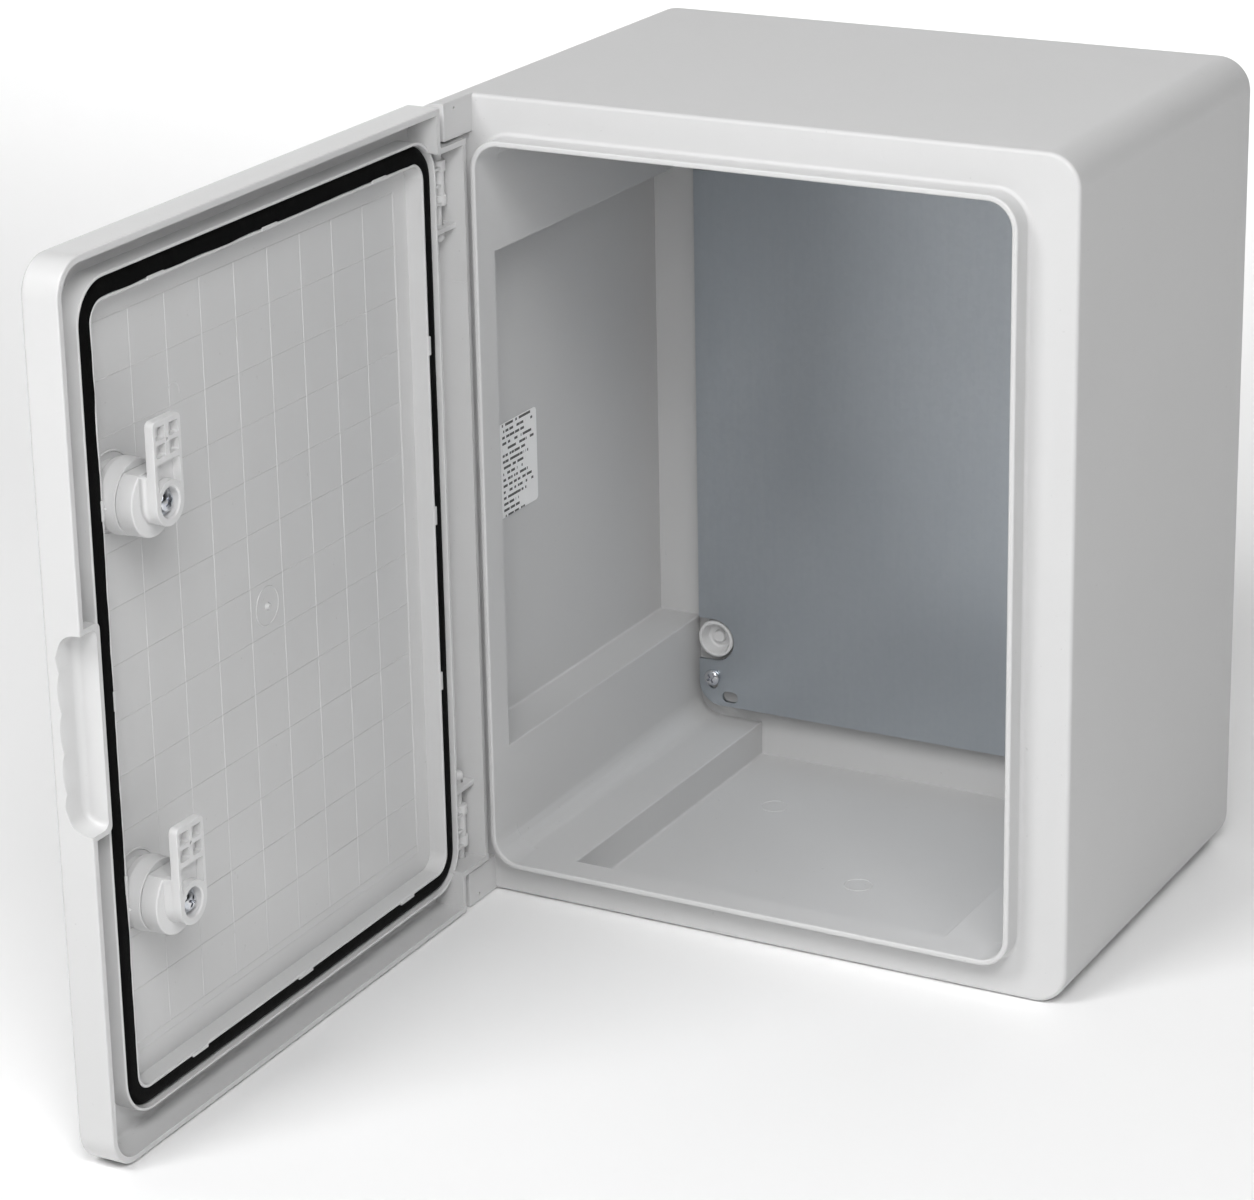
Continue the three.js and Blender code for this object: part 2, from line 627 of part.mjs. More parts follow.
leaf.add(named('door_shell', makeDoorShell(), 'door'));
leaf.add(named('door_gasket', makeGasket(), 'rubber'));
[['upper', 1], ['lower', -1]].forEach(([level, upward]) => {
  leaf.add(named(`${level}_hinge_pin`, makeHingePin(upward), 'fitting'));
  leaf.add(named(`${level}_lock_housing`, makeLockHousing(upward), 'fitting'));
  leaf.add(named(`${level}_lock_seal`, makeLockSeal(upward), 'rubber'));
  leaf.add(named(`${level}_lock_nut`, makeLockNut(upward), 'fitting'));
  leaf.add(named(`${level}_lock_rotor`, makeLockRotor(upward), 'fitting'));
  leaf.add(named(`${level}_lock_cam`, makeLockCam(upward), 'fitting'));
  leaf.add(named(`${level}_cam_washer`, makeCamWasher(upward), 'zinc'));
  leaf.add(named(`${level}_cam_screw`, makeCamScrew(upward), 'zinc'));
});

export default enclosure;
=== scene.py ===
"""Looks of a wall enclosure for a fire alarm control panel: moulded plastic body and hinged door, foam
gasket, cam locks, sliding hinge pins, galvanised mounting plate, screws, plugs and label.

Pieces are drawn in millimetres with the door closed, in the row frame's directions. install() turns
them to metres, and swings those that ride with the door to its open rest position.
"""

import json
import math

import bmesh
import bpy
from mathutils import Matrix, Vector, noise


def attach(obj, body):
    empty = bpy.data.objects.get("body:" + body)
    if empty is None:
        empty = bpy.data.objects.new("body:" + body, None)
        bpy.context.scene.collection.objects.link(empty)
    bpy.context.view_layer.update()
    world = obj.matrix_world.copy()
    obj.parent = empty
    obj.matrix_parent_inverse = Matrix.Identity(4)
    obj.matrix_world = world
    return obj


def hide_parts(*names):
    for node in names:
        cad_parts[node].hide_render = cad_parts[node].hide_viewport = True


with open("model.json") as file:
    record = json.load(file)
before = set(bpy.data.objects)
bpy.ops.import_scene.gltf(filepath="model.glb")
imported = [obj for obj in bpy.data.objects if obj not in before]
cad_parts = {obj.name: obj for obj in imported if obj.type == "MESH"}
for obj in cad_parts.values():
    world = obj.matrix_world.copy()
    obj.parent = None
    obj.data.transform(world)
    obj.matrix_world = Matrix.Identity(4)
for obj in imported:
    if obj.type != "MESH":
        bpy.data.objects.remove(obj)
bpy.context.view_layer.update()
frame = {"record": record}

MM = 0.001
RECORD = frame["record"]
BODY_OF = {node: body for body, nodes in RECORD["behaviour"]["bodies"].items() for node in nodes}

# Body
HEIGHT = 400
LEFT, RIGHT = -160, 160
FRONT, BACK = -106, 106
MIDDLE = HEIGHT / 2
CORNER = 16
WALL = 3
OPENING = (26.5, 21.3, 12.2)  # side inset, end inset, corner radius
COLLAR_WALL = 2.8
COLLAR_RIM = FRONT - 12
PANEL_FRONT = FRONT + 4
BACK_INNER = BACK - 5.5
BACK_OUTER = BACK_INNER + 3
SIDE_PANEL = 76
END_PANEL = 62.5

EAR_SIDE, EAR_END = 19, 18
EAR_FRONT = FRONT - 25.2

# Mounting plate and fixings: distances from the sides and from the ends
PLATE_FRONT = BACK - 16
PLATE_BACK = PLATE_FRONT + 2
PLATE = (31, 31, 12)
SCREW_AT = (39, 46.5)
PLUG_AT = (40, 67.5)
SPARE_SLOT_AT = (49, 36.5)
BOSS, SCREW_HOLE, WALL_HOLE = 5.5, 2.6, 4.5  # radii
PAD_SIDE = 64

# Label on the left wall
LABEL_Y = (FRONT + 41, FRONT + 78)
LABEL_Z = (177, 225)

# Door
HINGE = (LEFT + 9.5, FRONT - 17.5)
REST_OPENING = 89.5
DOOR_FACE = FRONT - 25
DOOR_FLOOR = DOOR_FACE + 3
DOOR_LIP = DOOR_FACE + 18.5
DOOR_EDGE = 0.5
RIB_TOP = DOOR_FACE + 13.2
GASKET_TOP = DOOR_FACE + 12.6
RIB_INNER = 3.65
RIB_OUTER = 5.75
PIN_HOLE = 2.6
KNOB_AT = 39.5
NOTCH_SIDE = 23.5
NOTCH_END = 19.4
NOTCH_WALL = 2.6
GRIP_WALL = 2.4
GRIP_LENGTH, FINGERS = 88, 5
GRIP_DEPTH, GRIP_FLOOR = 11.5, DOOR_FACE + 5.5
GRIP_END = (9.4, 8)  # height and length of the curve at each end
GRID_PITCH_X, GRID_COLUMNS = 26.2, 10
GRID_PITCH_Z, GRID_ROWS, GRID_FROM_Z = 24.8, 14, 40.2
GATE_AT = (0, 202)
TABS_X, TABS_Z = (-92, -2, 84), (288, 205, 122)

# Locks
LOCK_X = RIGHT - 48
LOCK_OFFSET = 89
LOCK_HOLE = 11
CAM_HUB = DOOR_FACE + 17.4
CAM_BACK = DOOR_FACE + 29.4
CAM_FRONT = DOOR_FACE + 33.6
CAM_HALF, CAM_TIP, CAM_ROOT = 10, 36.5, 13
CAM_DISC, CAM_DISC_DEPTH = 16, 8
POCKET_DEPTH = 3.6

LEVELS = (("upper", 1), ("lower", -1))
CORNERS = ((-1, -1), (1, -1), (-1, 1), (1, 1))

# Angles between faces, in degrees: sharper edges are softened in the shape, or kept sharp in the shading
SOFTENED_ANGLE = 40
SHARP_ANGLE = 32


# --- Camera -------------------------------------------------------------------------------------

def add_camera():
    """Camera at the picture's viewing angle. Its place is given from the enclosure's front left foot."""
    eye = Vector((925.0 + LEFT, -1511.6 + FRONT, 793.4)) * MM
    azimuth, elevation, roll = (math.radians(angle) for angle in (29.06, 18.45, -1.21))
    forward = Vector((
        -math.sin(azimuth) * math.cos(elevation),
        math.cos(azimuth) * math.cos(elevation),
        -math.sin(elevation),
    ))
    level = Vector((math.cos(azimuth), math.sin(azimuth), 0))
    upright = level.cross(forward)
    right = level * math.cos(roll) + upright * math.sin(roll)
    up = upright * math.cos(roll) - level * math.sin(roll)
    data = bpy.data.cameras.new("camera")
    data.sensor_width = 36
    data.lens = 111.904
    data.shift_x = 0.0175
    data.shift_y = -0.0877
    data.clip_end = 50
    camera = bpy.data.objects.new("camera", data)
    rotation = Matrix((right, up, -forward)).transposed().to_4x4()
    camera.matrix_world = Matrix.Translation(eye) @ rotation
    bpy.context.scene.collection.objects.link(camera)
    bpy.context.scene.camera = camera


# --- Drawing ------------------------------------------------------------------------------------

def arc(before, corner, after, radius, steps):
    """Points of the arc that rounds a corner of a 2-D line."""
    corner = Vector(corner)
    one = (Vector(before) - corner).normalized()
    two = (Vector(after) - corner).normalized()
    angle = one.angle(two)
    centre = corner + (one + two).normalized() * radius / math.sin(angle / 2)
    start = corner + one * radius / math.tan(angle / 2) - centre
    end = corner + two * radius / math.tan(angle / 2) - centre
    turn = start.angle(end)
    points = []
    for step in range(steps + 1):
        share = step / steps
        offset = start * math.sin((1 - share) * turn) + end * math.sin(share * turn)
        points.append(tuple(centre + offset / math.sin(turn)))
    return points


def rounded(points, closed=True, steps=4):
    """A line of (u, v, radius) corners as plain (u, v) points, with its corners rounded."""
    line = []
    count = len(points)
    for i, (u, v, radius) in enumerate(points):
        if radius == 0 or (not closed and i in (0, count - 1)):
            line.append((u, v))
            continue
        before, after = points[i - 1][:2], points[(i + 1) % count][:2]
        line += arc(before, (u, v), after, radius, steps)
    return line


def piece_from(mesh_builder, name="piece"):
    """Blender object of a bmesh, linked so that its modifiers can be worked out."""
    bmesh.ops.remove_doubles(mesh_builder, verts=mesh_builder.verts, dist=1e-4)
    bmesh.ops.recalc_face_normals(mesh_builder, faces=mesh_builder.faces)
    mesh = bpy.data.meshes.new(name)
    mesh_builder.to_mesh(mesh)
    mesh_builder.free()
    piece = bpy.data.objects.new(name, mesh)
    bpy.context.scene.collection.objects.link(piece)
    return piece


def loft(rings, ring_shaped=False):
    """Solid through rings of as many points each. A ring-shaped one closes on its first ring."""
    builder = bmesh.new()
    rows = [[builder.verts.new(point) for point in ring] for ring in rings]
    following = rows[1:] + rows[:1] if ring_shaped else rows[1:]
    for row, after in zip(rows, following):
        for i in range(len(row)):
            j = (i + 1) % len(row)
            builder.faces.new((row[i], row[j], after[j], after[i]))
    if not ring_shaped:
        builder.faces.new(rows[0])
        builder.faces.new(rows[-1])
    return piece_from(builder)


def outline(side, end, corner, y, steps=12, spacing=None):
    """Rounded rectangle in the front view, set in from the body's outline."""
    centres = (
        (RIGHT - side - corner, HEIGHT - end - corner),
        (LEFT + side + corner, HEIGHT - end - corner),
        (LEFT + side + corner, end + corner),
        (RIGHT - side - corner, end + corner),
    )
    points = []
    for quarter, (x, z) in enumerate(centres):
        for step in range(steps + 1):
            angle = math.radians(90 * (quarter + step / steps))
            points.append((x + corner * math.cos(angle), y, z + corner * math.sin(angle)))
    if spacing:
        points = divided(points, spacing)
    return points


def divided(points, spacing):
    """A closed line with its long stretches divided evenly."""
    line = []
    for point, after in zip(points, points[1:] + points[:1]):
        parts = max(1, round((Vector(after) - Vector(point)).length / spacing))
        line += [tuple(Vector(point).lerp(Vector(after), part / parts)) for part in range(parts)]
    return line


def collar_line(outward, y, spacing=None):
    """Outline that follows the middle of the collar's wall, moved outwards."""
    half = COLLAR_WALL / 2 + outward
    return outline(OPENING[0] - half, OPENING[1] - half, OPENING[2] + half, y, spacing=spacing)


def prism(points, y0, y1):
    """Outline of (x, z) points carried along Y."""
    return loft([[(x, y, z) for x, z in points] for y in (y0, y1)])


def side_prism(points, x0, x1):
    """Outline of (y, z) points carried along X."""
    return loft([[(x, y, z) for y, z in points] for x in (x0, x1)])


def block(x, y, z):
    """Box between pairs of limits, in any order."""
    corners = [(x[0], z[0]), (x[1], z[0]), (x[1], z[1]), (x[0], z[1])]
    return prism(corners, *y)


def turned(profile, centre, axis="Y", steps=48):
    """Solid of revolution. The profile is (radius, height) points, from axis to axis or all round."""
    builder = bmesh.new()
    rows = []
    for radius, height in profile:
        count = 1 if radius < 1e-6 else steps
        row = []
        for step in range(count):
            angle = math.tau * step / steps
            across, up = radius * math.cos(angle), radius * math.sin(angle)
            if axis == "Y":
                row.append(builder.verts.new((centre[0] + across, height, centre[1] + up)))
            else:
                row.append(builder.verts.new((centre[0] + across, centre[1] + up, height)))
        rows.append(row)
    closed = len(rows[0]) > 1
    for row, after in zip(rows, rows[1:] + (rows[:1] if closed else [])):
        for step in range(steps):
            following = (step + 1) % steps
            corners = [row[step % len(row)], row[following % len(row)]]
            corners += [after[following % len(after)], after[step % len(after)]]
            unique = list(dict.fromkeys(corners))
            if len(unique) > 2:
                builder.faces.new(unique)
    return piece_from(builder)


def rod(radius, y0, y1, x, z, steps=48):
    return turned([(0, y0), (radius, y0), (radius, y1), (0, y1)], (x, z), steps=steps)


def upright_rod(radius, z0, z1, x, y):
    return turned([(0, z0), (radius, z0), (radius, z1), (0, z1)], (x, y), axis="Z", steps=32)


def slot(x, z, width, height, y0, y1):
    radius = min(width, height) / 2 - 0.01
    corners = [(x - width / 2, z - height / 2), (x + width / 2, z - height / 2)]
    corners += [(x + width / 2, z + height / 2), (x - width / 2, z + height / 2)]
    return prism(rounded([(*corner, radius) for corner in corners], steps=8), y0, y1)


def settle(piece):
    """Puts what the modifiers make into the mesh."""
    bpy.context.view_layer.update()
    graph = bpy.context.evaluated_depsgraph_get()
    mesh = bpy.data.meshes.new_from_object(piece.evaluated_get(graph))
    piece.modifiers.clear()
    old, piece.data = piece.data, mesh
    bpy.data.meshes.remove(old)
    return piece


def combine(piece, operation, tools):
    """Joins or cuts solids, one tool after the other."""
    for tool in tools:
        modifier = piece.modifiers.new("combine", "BOOLEAN")
        modifier.operation = operation
        modifier.solver = "EXACT"
        modifier.object = tool
    settle(piece)
    for tool in tools:
        mesh = tool.data
        bpy.data.objects.remove(tool)
        bpy.data.meshes.remove(mesh)
    return piece


def union(piece, *tools):
    return combine(piece, "UNION", tools)


def cut(piece, *tools):
    return combine(piece, "DIFFERENCE", tools)


def common(piece, tool):
    return combine(piece, "INTERSECT", [tool])


def soften(piece, width, segments=2):
    """Rounds the sharp edges of a solid."""
    modifier = piece.modifiers.new("soften", "BEVEL")
    modifier.width = width
    modifier.segments = segments
    modifier.limit_method = "ANGLE"
    modifier.angle_limit = math.radians(SOFTENED_ANGLE)
    return settle(piece)


def gather(piece, *others):
    """One object holding several separate solids."""
    builder = bmesh.new()
    for item in (piece, *others):
        builder.from_mesh(item.data)
    builder.to_mesh(piece.data)
    builder.free()
    for item in others:
        mesh = item.data
        bpy.data.objects.remove(item)
        bpy.data.meshes.remove(mesh)
    return piece


def side_x(sideways, distance):
    """Place across, as a distance in from the right (1) or the left (-1) side."""
    return sideways * (RIGHT - distance)


def end_z(upward, distance):
    """Height, as a distance in from the upper (1) or the lower (-1) end."""
    return MIDDLE + upward * (MIDDLE - distance)


# --- Materials ----------------------------------------------------------------------------------

class Finish:
    """A node material under construction."""

    def __init__(self, name):
        self.material = bpy.data.materials.new(name)
        self.material.use_nodes = True
        self.tree = self.material.node_tree
        self.surface = self.tree.nodes["Principled BSDF"]
        self.place = self.add("ShaderNodeTexCoord").outputs["Object"]

    def add(self, kind, inputs=None, **settings):
        node = self.tree.nodes.new(kind)
        for key, value in settings.items():
            setattr(node, key, value)
        for key, value in (inputs or {}).items():
            self.set(node.inputs[key], value)
        return node

    def set(self, socket, value):
        if isinstance(value, bpy.types.NodeSocket):
            self.tree.links.new(value, socket)
        else:
            socket.default_value = value

    def scaled(self, scale):
        """Coordinates stretched by a different amount along each axis."""
        node = self.add("ShaderNodeMapping", {"Vector": self.place, "Scale": scale})
        return node.outputs["Vector"]

    def noise(self, scale, detail=3.0, vector=None, roughness=0.5):
        inputs = {"Vector": vector or self.place, "Scale": scale, "Detail": detail, "Roughness": roughness}
        return self.add("ShaderNodeTexNoise", inputs).outputs["Fac"]

    def ranged(self, value, low, high, from_low=0.3, from_high=0.7):
        inputs = {"Value": value, "From Min": from_low, "From Max": from_high, "To Min": low, "To Max": high}
        return self.add("ShaderNodeMapRange", inputs).outputs["Result"]

    def mixed(self, share, one, two):
        node = self.add("ShaderNodeMix", data_type="RGBA")
        for socket, value in zip((node.inputs[0], node.inputs[6], node.inputs[7]), (share, one, two)):
            self.set(socket, value)
        return node.outputs[2]

    def bump(self, height, strength, distance, normal=None):
        inputs = {"Height": height, "Strength": strength, "Distance": distance}
        if normal:
            inputs["Normal"] = normal
        return self.add("ShaderNodeBump", inputs).outputs["Normal"]

    def finish(self, **inputs):
        for key, value in inputs.items():
            self.set(self.surface.inputs[key.replace("_", " ")], value)
        return self.material


def grey(value, tint=(1, 1, 1)):
    return tuple(value * part for part in tint) + (1,)


def moulded_plastic(name, colour, roughness, grain):
    """Moulded plastic: faintly cloudy colour, flow marks, fine grain, dust specks and rubbed spots."""
    make = Finish(name)
    cloud = make.ranged(make.noise(9, 3), 0, 1, 0.2, 0.8)
    flow = make.ranged(make.noise(4, 4, make.scaled((1, 1, 5))), 0, 1, 0.2, 0.8)
    base = make.mixed(cloud, grey(colour * 0.975), grey(colour * 1.015))
    base = make.mixed(make.ranged(flow, 0, 0.4, 0, 1), base, grey(colour * 0.985, (1.0, 1.0, 1.01)))
    specks = make.ranged(make.noise(420, 1), 0, 0.35, 0.76, 0.84)
    base = make.mixed(specks, base, grey(colour * 0.6))
    rubbed = make.ranged(make.noise(30, 5, roughness=0.6), 0, 0.15, 0.2, 0.9)
    base = make.mixed(rubbed, base, grey(min(colour * 1.03, 0.95)))
    dull = make.ranged(make.noise(160, 2), roughness - 0.01, roughness + 0.015, 0.2, 0.8)
    relief = make.bump(make.noise(2600, 2), grain, 0.00012)
    return make.finish(Base_Color=base, Roughness=dull, Normal=relief, IOR=1.46)


def foam_rubber():
    """Black foam with fine pores and a little dust."""
    make = Finish("foam_rubber")
    pores = make.noise(1500, 4, roughness=0.7)
    dust = make.ranged(make.noise(90, 5, roughness=0.7), 0, 1, 0.5, 0.75)
    base = make.mixed(dust, grey(0.002), grey(0.004, (1, 0.98, 0.95)))
    relief = make.bump(pores, 0.6, 0.00025)
    relief = make.bump(make.noise(140, 2), 0.4, 0.0005, relief)
    dull = make.ranged(pores, 0.55, 0.7)
    return make.finish(Base_Color=base, Roughness=dull, Normal=relief, Specular_IOR_Level=0.06)


def galvanised_sheet():
    """Zinc-coated sheet: fine rolled streaks, faint spangle and slightly wavy gloss."""
    make = Finish("galvanised_sheet")
    streaks = make.noise(60, 4, make.scaled((7, 1, 0.5)), 0.6)
    spangle = make.add("ShaderNodeTexVoronoi", {"Vector": make.place, "Scale": 420.0})
    spangle = make.add("ShaderNodeSeparateColor", {"Color": spangle.outputs["Color"]}).outputs[0]
    clouds = make.noise(6, 2)
    dull_zinc, bright_zinc = grey(0.53, (0.91, 0.98, 1.05)), grey(0.55, (0.92, 0.98, 1.04))
    base = make.mixed(make.ranged(streaks, 0, 1), dull_zinc, bright_zinc)
    base = make.mixed(make.ranged(spangle, 0, 0.25, 0, 1), base, grey(0.61, (0.93, 0.99, 1.04)))
    base = make.mixed(make.ranged(clouds, 0, 0.7), base, grey(0.46, (0.9, 0.98, 1.06)))
    dull = make.ranged(clouds, 0.3, 0.36)
    relief = make.bump(streaks, 0.015, 0.0003)
    relief = make.bump(make.noise(9, 1, make.scaled((1.0, 1, 0.6))), 0.35, 0.004, relief)
    return make.finish(Base_Color=base, Metallic=0.92, Roughness=dull, Normal=relief)


def plated_steel():
    """Bright zinc plating with fine scratches."""
    make = Finish("plated_steel")
    tint = make.ranged(make.noise(420, 3), 0, 1)
    base = make.mixed(tint, grey(0.58, (0.93, 0.98, 1.08)), grey(0.74, (1, 1, 1.02)))
    scratches = make.noise(700, 5, make.scaled((1, 1, 3)), 0.7)
    dull = make.ranged(scratches, 0.14, 0.3)
    relief = make.bump(scratches, 0.12, 0.0001)
    return make.finish(Base_Color=base, Metallic=1.0, Roughness=dull, Normal=relief)


PRINT_PITCH = 0.0031


def printed_film():
    """White film printed with rows of plain bars of uneven length."""
    make = Finish("printed_film")
    split = make.add("ShaderNodeSeparateXYZ", {"Vector": make.place})
    along, up = split.outputs["Y"], split.outputs["Z"]
    rows = make.add("ShaderNodeMath", {0: up, 1: 1 / PRINT_PITCH}, operation="MULTIPLY").outputs[0]
    row = make.add("ShaderNodeMath", {0: rows}, operation="FLOOR").outputs[0]
    inside = make.add("ShaderNodeMath", {0: rows}, operation="FRACT").outputs[0]
    bar = make.add("ShaderNodeMath", {0: inside, 1: 0.42}, operation="LESS_THAN").outputs[0]
    words = make.add("ShaderNodeCombineXYZ", {"X": along, "Y": row}).outputs[0]
    words = make.add("ShaderNodeMapping", {"Vector": words, "Scale": (420, 3.7, 1)}).outputs["Vector"]
    dashes = make.ranged(make.noise(1.0, 1, words), 0, 1, 0.44, 0.46)
    ends = make.add("ShaderNodeCombineXYZ", {"Y": row}).outputs[0]
    ends = make.add("ShaderNodeMapping", {"Vector": ends, "Scale": (1, 11.3, 1)}).outputs["Vector"]
    reach = make.ranged(make.noise(1.0, 0, ends), -0.048, -0.031, 0.3, 0.7)
    printed = make.add("ShaderNodeMath", {0: along, 1: reach}, operation="LESS_THAN").outputs[0]
    margin = make.add("ShaderNodeMath", {0: along, 1: -0.0615}, operation="GREATER_THAN").outputs[0]
    ink = make.add("ShaderNodeMath", {0: bar, 1: dashes}, operation="MULTIPLY").outputs[0]
    ink = make.add("ShaderNodeMath", {0: ink, 1: printed}, operation="MULTIPLY").outputs[0]
    ink = make.add("ShaderNodeMath", {0: ink, 1: margin}, operation="MULTIPLY").outputs[0]
    paper = make.mixed(make.ranged(make.noise(60, 3), 0, 1), grey(0.9), grey(0.94))
    base = make.mixed(ink, paper, grey(0.09))
    dull = make.ranged(make.noise(300, 2), 0.45, 0.6)
    relief = make.bump(make.noise(120, 3), 0.1, 0.0002)
    return make.finish(Base_Color=base, Roughness=dull, Normal=relief)


# --- Placing ------------------------------------------------------------------------------------

pivot = Matrix.Translation((*HINGE, 0))
SWING = pivot @ Matrix.Rotation(math.radians(-REST_OPENING), 4, "Z") @ pivot.inverted()


def shade(piece):
    """Smooth shading, with sharp edges kept."""
    builder = bmesh.new()
    builder.from_mesh(piece.data)
    bmesh.ops.dissolve_degenerate(builder, edges=builder.edges, dist=1e-4)
    for face in builder.faces:
        face.smooth = True
    for edge in builder.edges:
        if len(edge.link_faces) == 2:
            edge.smooth = edge.calc_face_angle(0) < math.radians(SHARP_ANGLE)
    builder.to_mesh(piece.data)
    builder.free()
    modifier = piece.modifiers.new("normals", "WEIGHTED_NORMAL")
    modifier.keep_sharp = True
    settle(piece)


def install(piece, node, material):
    """Puts a finished piece in the place of its CAD node."""
    body = BODY_OF[node]
    shade(piece)
    move = Matrix.Scale(MM, 4)
    piece.data.transform(move if body == "enclosure" else move @ SWING)
    piece.name = piece.data.name = f"{node}_finished"
    piece.data.materials.clear()
    piece.data.materials.append(material)
    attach(piece, body)
    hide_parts(node)


# --- Body ---------------------------------------------------------------------------------------

def body_outside():
    """The body's outer form, from its rear edge over the front to the rim of the collar."""
    shell = rounded([(6, BACK, 0), (0, BACK, 1), (0, FRONT, 2.2), (6, FRONT, 0)], closed=False)
    rings = [outline(inset, inset, CORNER - inset, y) for inset, y in shell]
    rim = COLLAR_WALL / 2
    collar = rounded([(rim + 6, FRONT, 0), (rim, FRONT, 2), (rim, COLLAR_RIM, 0.9), (0, COLLAR_RIM, 0)],
                     closed=False)
    return loft(rings + [collar_line(outward, y) for outward, y in collar])


def hinge_ear(upward):
    """Ear that carries a hinge pin, with its outer corner as round as the body's."""
    points = [
        (LEFT, end_z(upward, 0), CORNER), (LEFT + EAR_SIDE, end_z(upward, 0), 0.6),
        (LEFT + EAR_SIDE, end_z(upward, EAR_END), 0.6), (LEFT, end_z(upward, EAR_END), 0.6),
    ]
    ear = prism(rounded(points, steps=12), EAR_FRONT, FRONT + 3)
    soften(ear, 0.7)
    ends = sorted((end_z(upward, 7), end_z(upward, EAR_END + 1)))
    pit = [LEFT + EAR_SIDE - 1.5, LEFT + EAR_SIDE + 1]
    dot = turned([(0, pit[0]), (0.8, pit[0]), (0.8, pit[1]), (0, pit[1])], (0, 0), axis="Z", steps=12)
    dot.data.transform(Matrix.Translation((0, FRONT - 16, end_z(upward, 3.8)))
                       @ Matrix.Rotation(math.pi / 2, 4, "Y"))
    return cut(ear, upright_rod(PIN_HOLE, *ends, *HINGE), dot)


def interior():
    """Everything hollow in front of the back wall: the mouth, the tunnel and the deep panels."""
    side, end, corner = OPENING
    ease = 0.9
    flare = [(ease, COLLAR_RIM - 3)]
    for step in range(5):
        angle = math.radians(90 * step / 4)
        flare.append((ease * (1 - math.sin(angle)), COLLAR_RIM + ease * (1 - math.cos(angle))))
    flare.append((0, PANEL_FRONT + 5))
    mouth = loft([outline(side - out, end - out, corner + out, y) for out, y in flare])
    wide, tall = RIGHT - WALL, MIDDLE - WALL
    near, low = RIGHT - side, MIDDLE - end
    panel, floor = MIDDLE - SIDE_PANEL, RIGHT - END_PANEL
    quarter = [
        (wide, panel, 1.2), (near, panel, 0.7), (near, low, corner), (floor, low, 0.7), (floor, tall, 1.2),
    ]
    around = []
    for sideways, upward in ((1, 1), (-1, 1), (-1, -1), (1, -1)):
        part = [(sideways * x, MIDDLE + upward * z, radius) for x, z, radius in quarter]
        around += part if sideways == upward else part[::-1]
    deep = prism(rounded(around, steps=5), PANEL_FRONT, BACK_INNER)
    return mouth, deep


def rear_hollows():
    """Shallow hollow behind the back wall, round four pads, and the hollows of the corner masses."""
    hollow = prism([(x, z) for x, _, z in outline(WALL, WALL, CORNER - WALL, 0)], BACK_OUTER, BACK + 2)
    pads, pockets = [], []
    for sideways, upward in CORNERS:
        x = [side_x(sideways, distance) for distance in (OPENING[0] - WALL, PAD_SIDE)]
        z = [end_z(upward, distance) for distance in (OPENING[1] - WALL, SIDE_PANEL + 4)]
        pads.append(block(x, (BACK_INNER - 2, BACK + 4), z))
        x = [side_x(sideways, distance) for distance in (WALL, OPENING[0] - WALL)]
        z = [end_z(upward, distance) for distance in (WALL, SIDE_PANEL - WALL)]
        pockets.append(block(x, (PANEL_FRONT + WALL, BACK + 2), z))
        x = [side_x(sideways, distance) for distance in (OPENING[0] - WALL - 1, END_PANEL - WALL)]
        z = [end_z(upward, distance) for distance in (WALL, OPENING[1] - WALL)]
        pockets.append(block(x, (PANEL_FRONT + WALL, BACK + 2), z))
    limit = prism([(x, z) for x, _, z in outline(WALL, WALL, CORNER - WALL, 0)],
                  PANEL_FRONT + 1, BACK + 3)
    pocket = common(union(*pockets), limit)
    return cut(hollow, *pads), pocket


def ring_mark(radius, centre, seat, facing, axis="Y", height=0.25, width=0.5):
    """Faint raised ring left by the mould."""
    top = seat + facing * height
    buried = seat - facing * 0.4
    profile = [(radius - width, buried), (radius - width * 0.4, top), (radius + width * 0.4, top),
               (radius + width, buried)]
    return turned(profile, centre, axis=axis, steps=40)


def make_body():
    """The moulded box with its ears, hollows, screw bosses and wall holes."""
    body = union(body_outside(), hinge_ear(1), hinge_ear(-1))
    cut(body, *interior())
    cut(body, *rear_hollows())
    bosses, holes = [], []
    for sideways, upward in CORNERS:
        x, z = side_x(sideways, SCREW_AT[0]), end_z(upward, SCREW_AT[1])
        bosses.append(rod(BOSS, PLATE_BACK + 0.3, BACK_INNER + 1.5, x, z, steps=32))
        holes.append(rod(SCREW_HOLE, PLATE_BACK - 1, BACK_INNER + 2, x, z, steps=24))
        x, z = side_x(sideways, PLUG_AT[0]), end_z(upward, PLUG_AT[1])
        holes.append(rod(WALL_HOLE, BACK_INNER - 2, BACK + 2, x, z, steps=32))
    union(body, *bosses)
    cut(body, *holes)
    marks = [
        ring_mark(7, (20, -30), WALL, 1, axis="Z"),
        ring_mark(7, (-60, 40), WALL, 1, axis="Z"),
        ring_mark(3.4, (side_x(1, 66), end_z(-1, 12)), BACK_INNER, -1),
    ]
    return gather(body, *marks)


# --- Plate, screws, plugs, label ----------------------------------------------------------------

def make_plate():
    """Sheet with a notch for each plug, a slot for each screw, and a spare slot at each corner."""
    side, end, corner = PLATE
    plate = loft([outline(side, end, corner, y, steps=8) for y in (PLATE_FRONT, PLATE_BACK)])
    tools = []
    for sideways, upward in CORNERS:
        for (x, z), shift, width, height in (
            (PLUG_AT, (-4, 0), 31, 23), (SCREW_AT, (0, -1.5), 6, 10), (SPARE_SLOT_AT, (0, 0), 9, 6),
        ):
            tools.append(slot(side_x(sideways, x + shift[0]), end_z(upward, z + shift[1]),
                              width, height, PLATE_FRONT - 2, PLATE_BACK + 2))
    cut(plate, *tools)
    return soften(plate, 0.35)


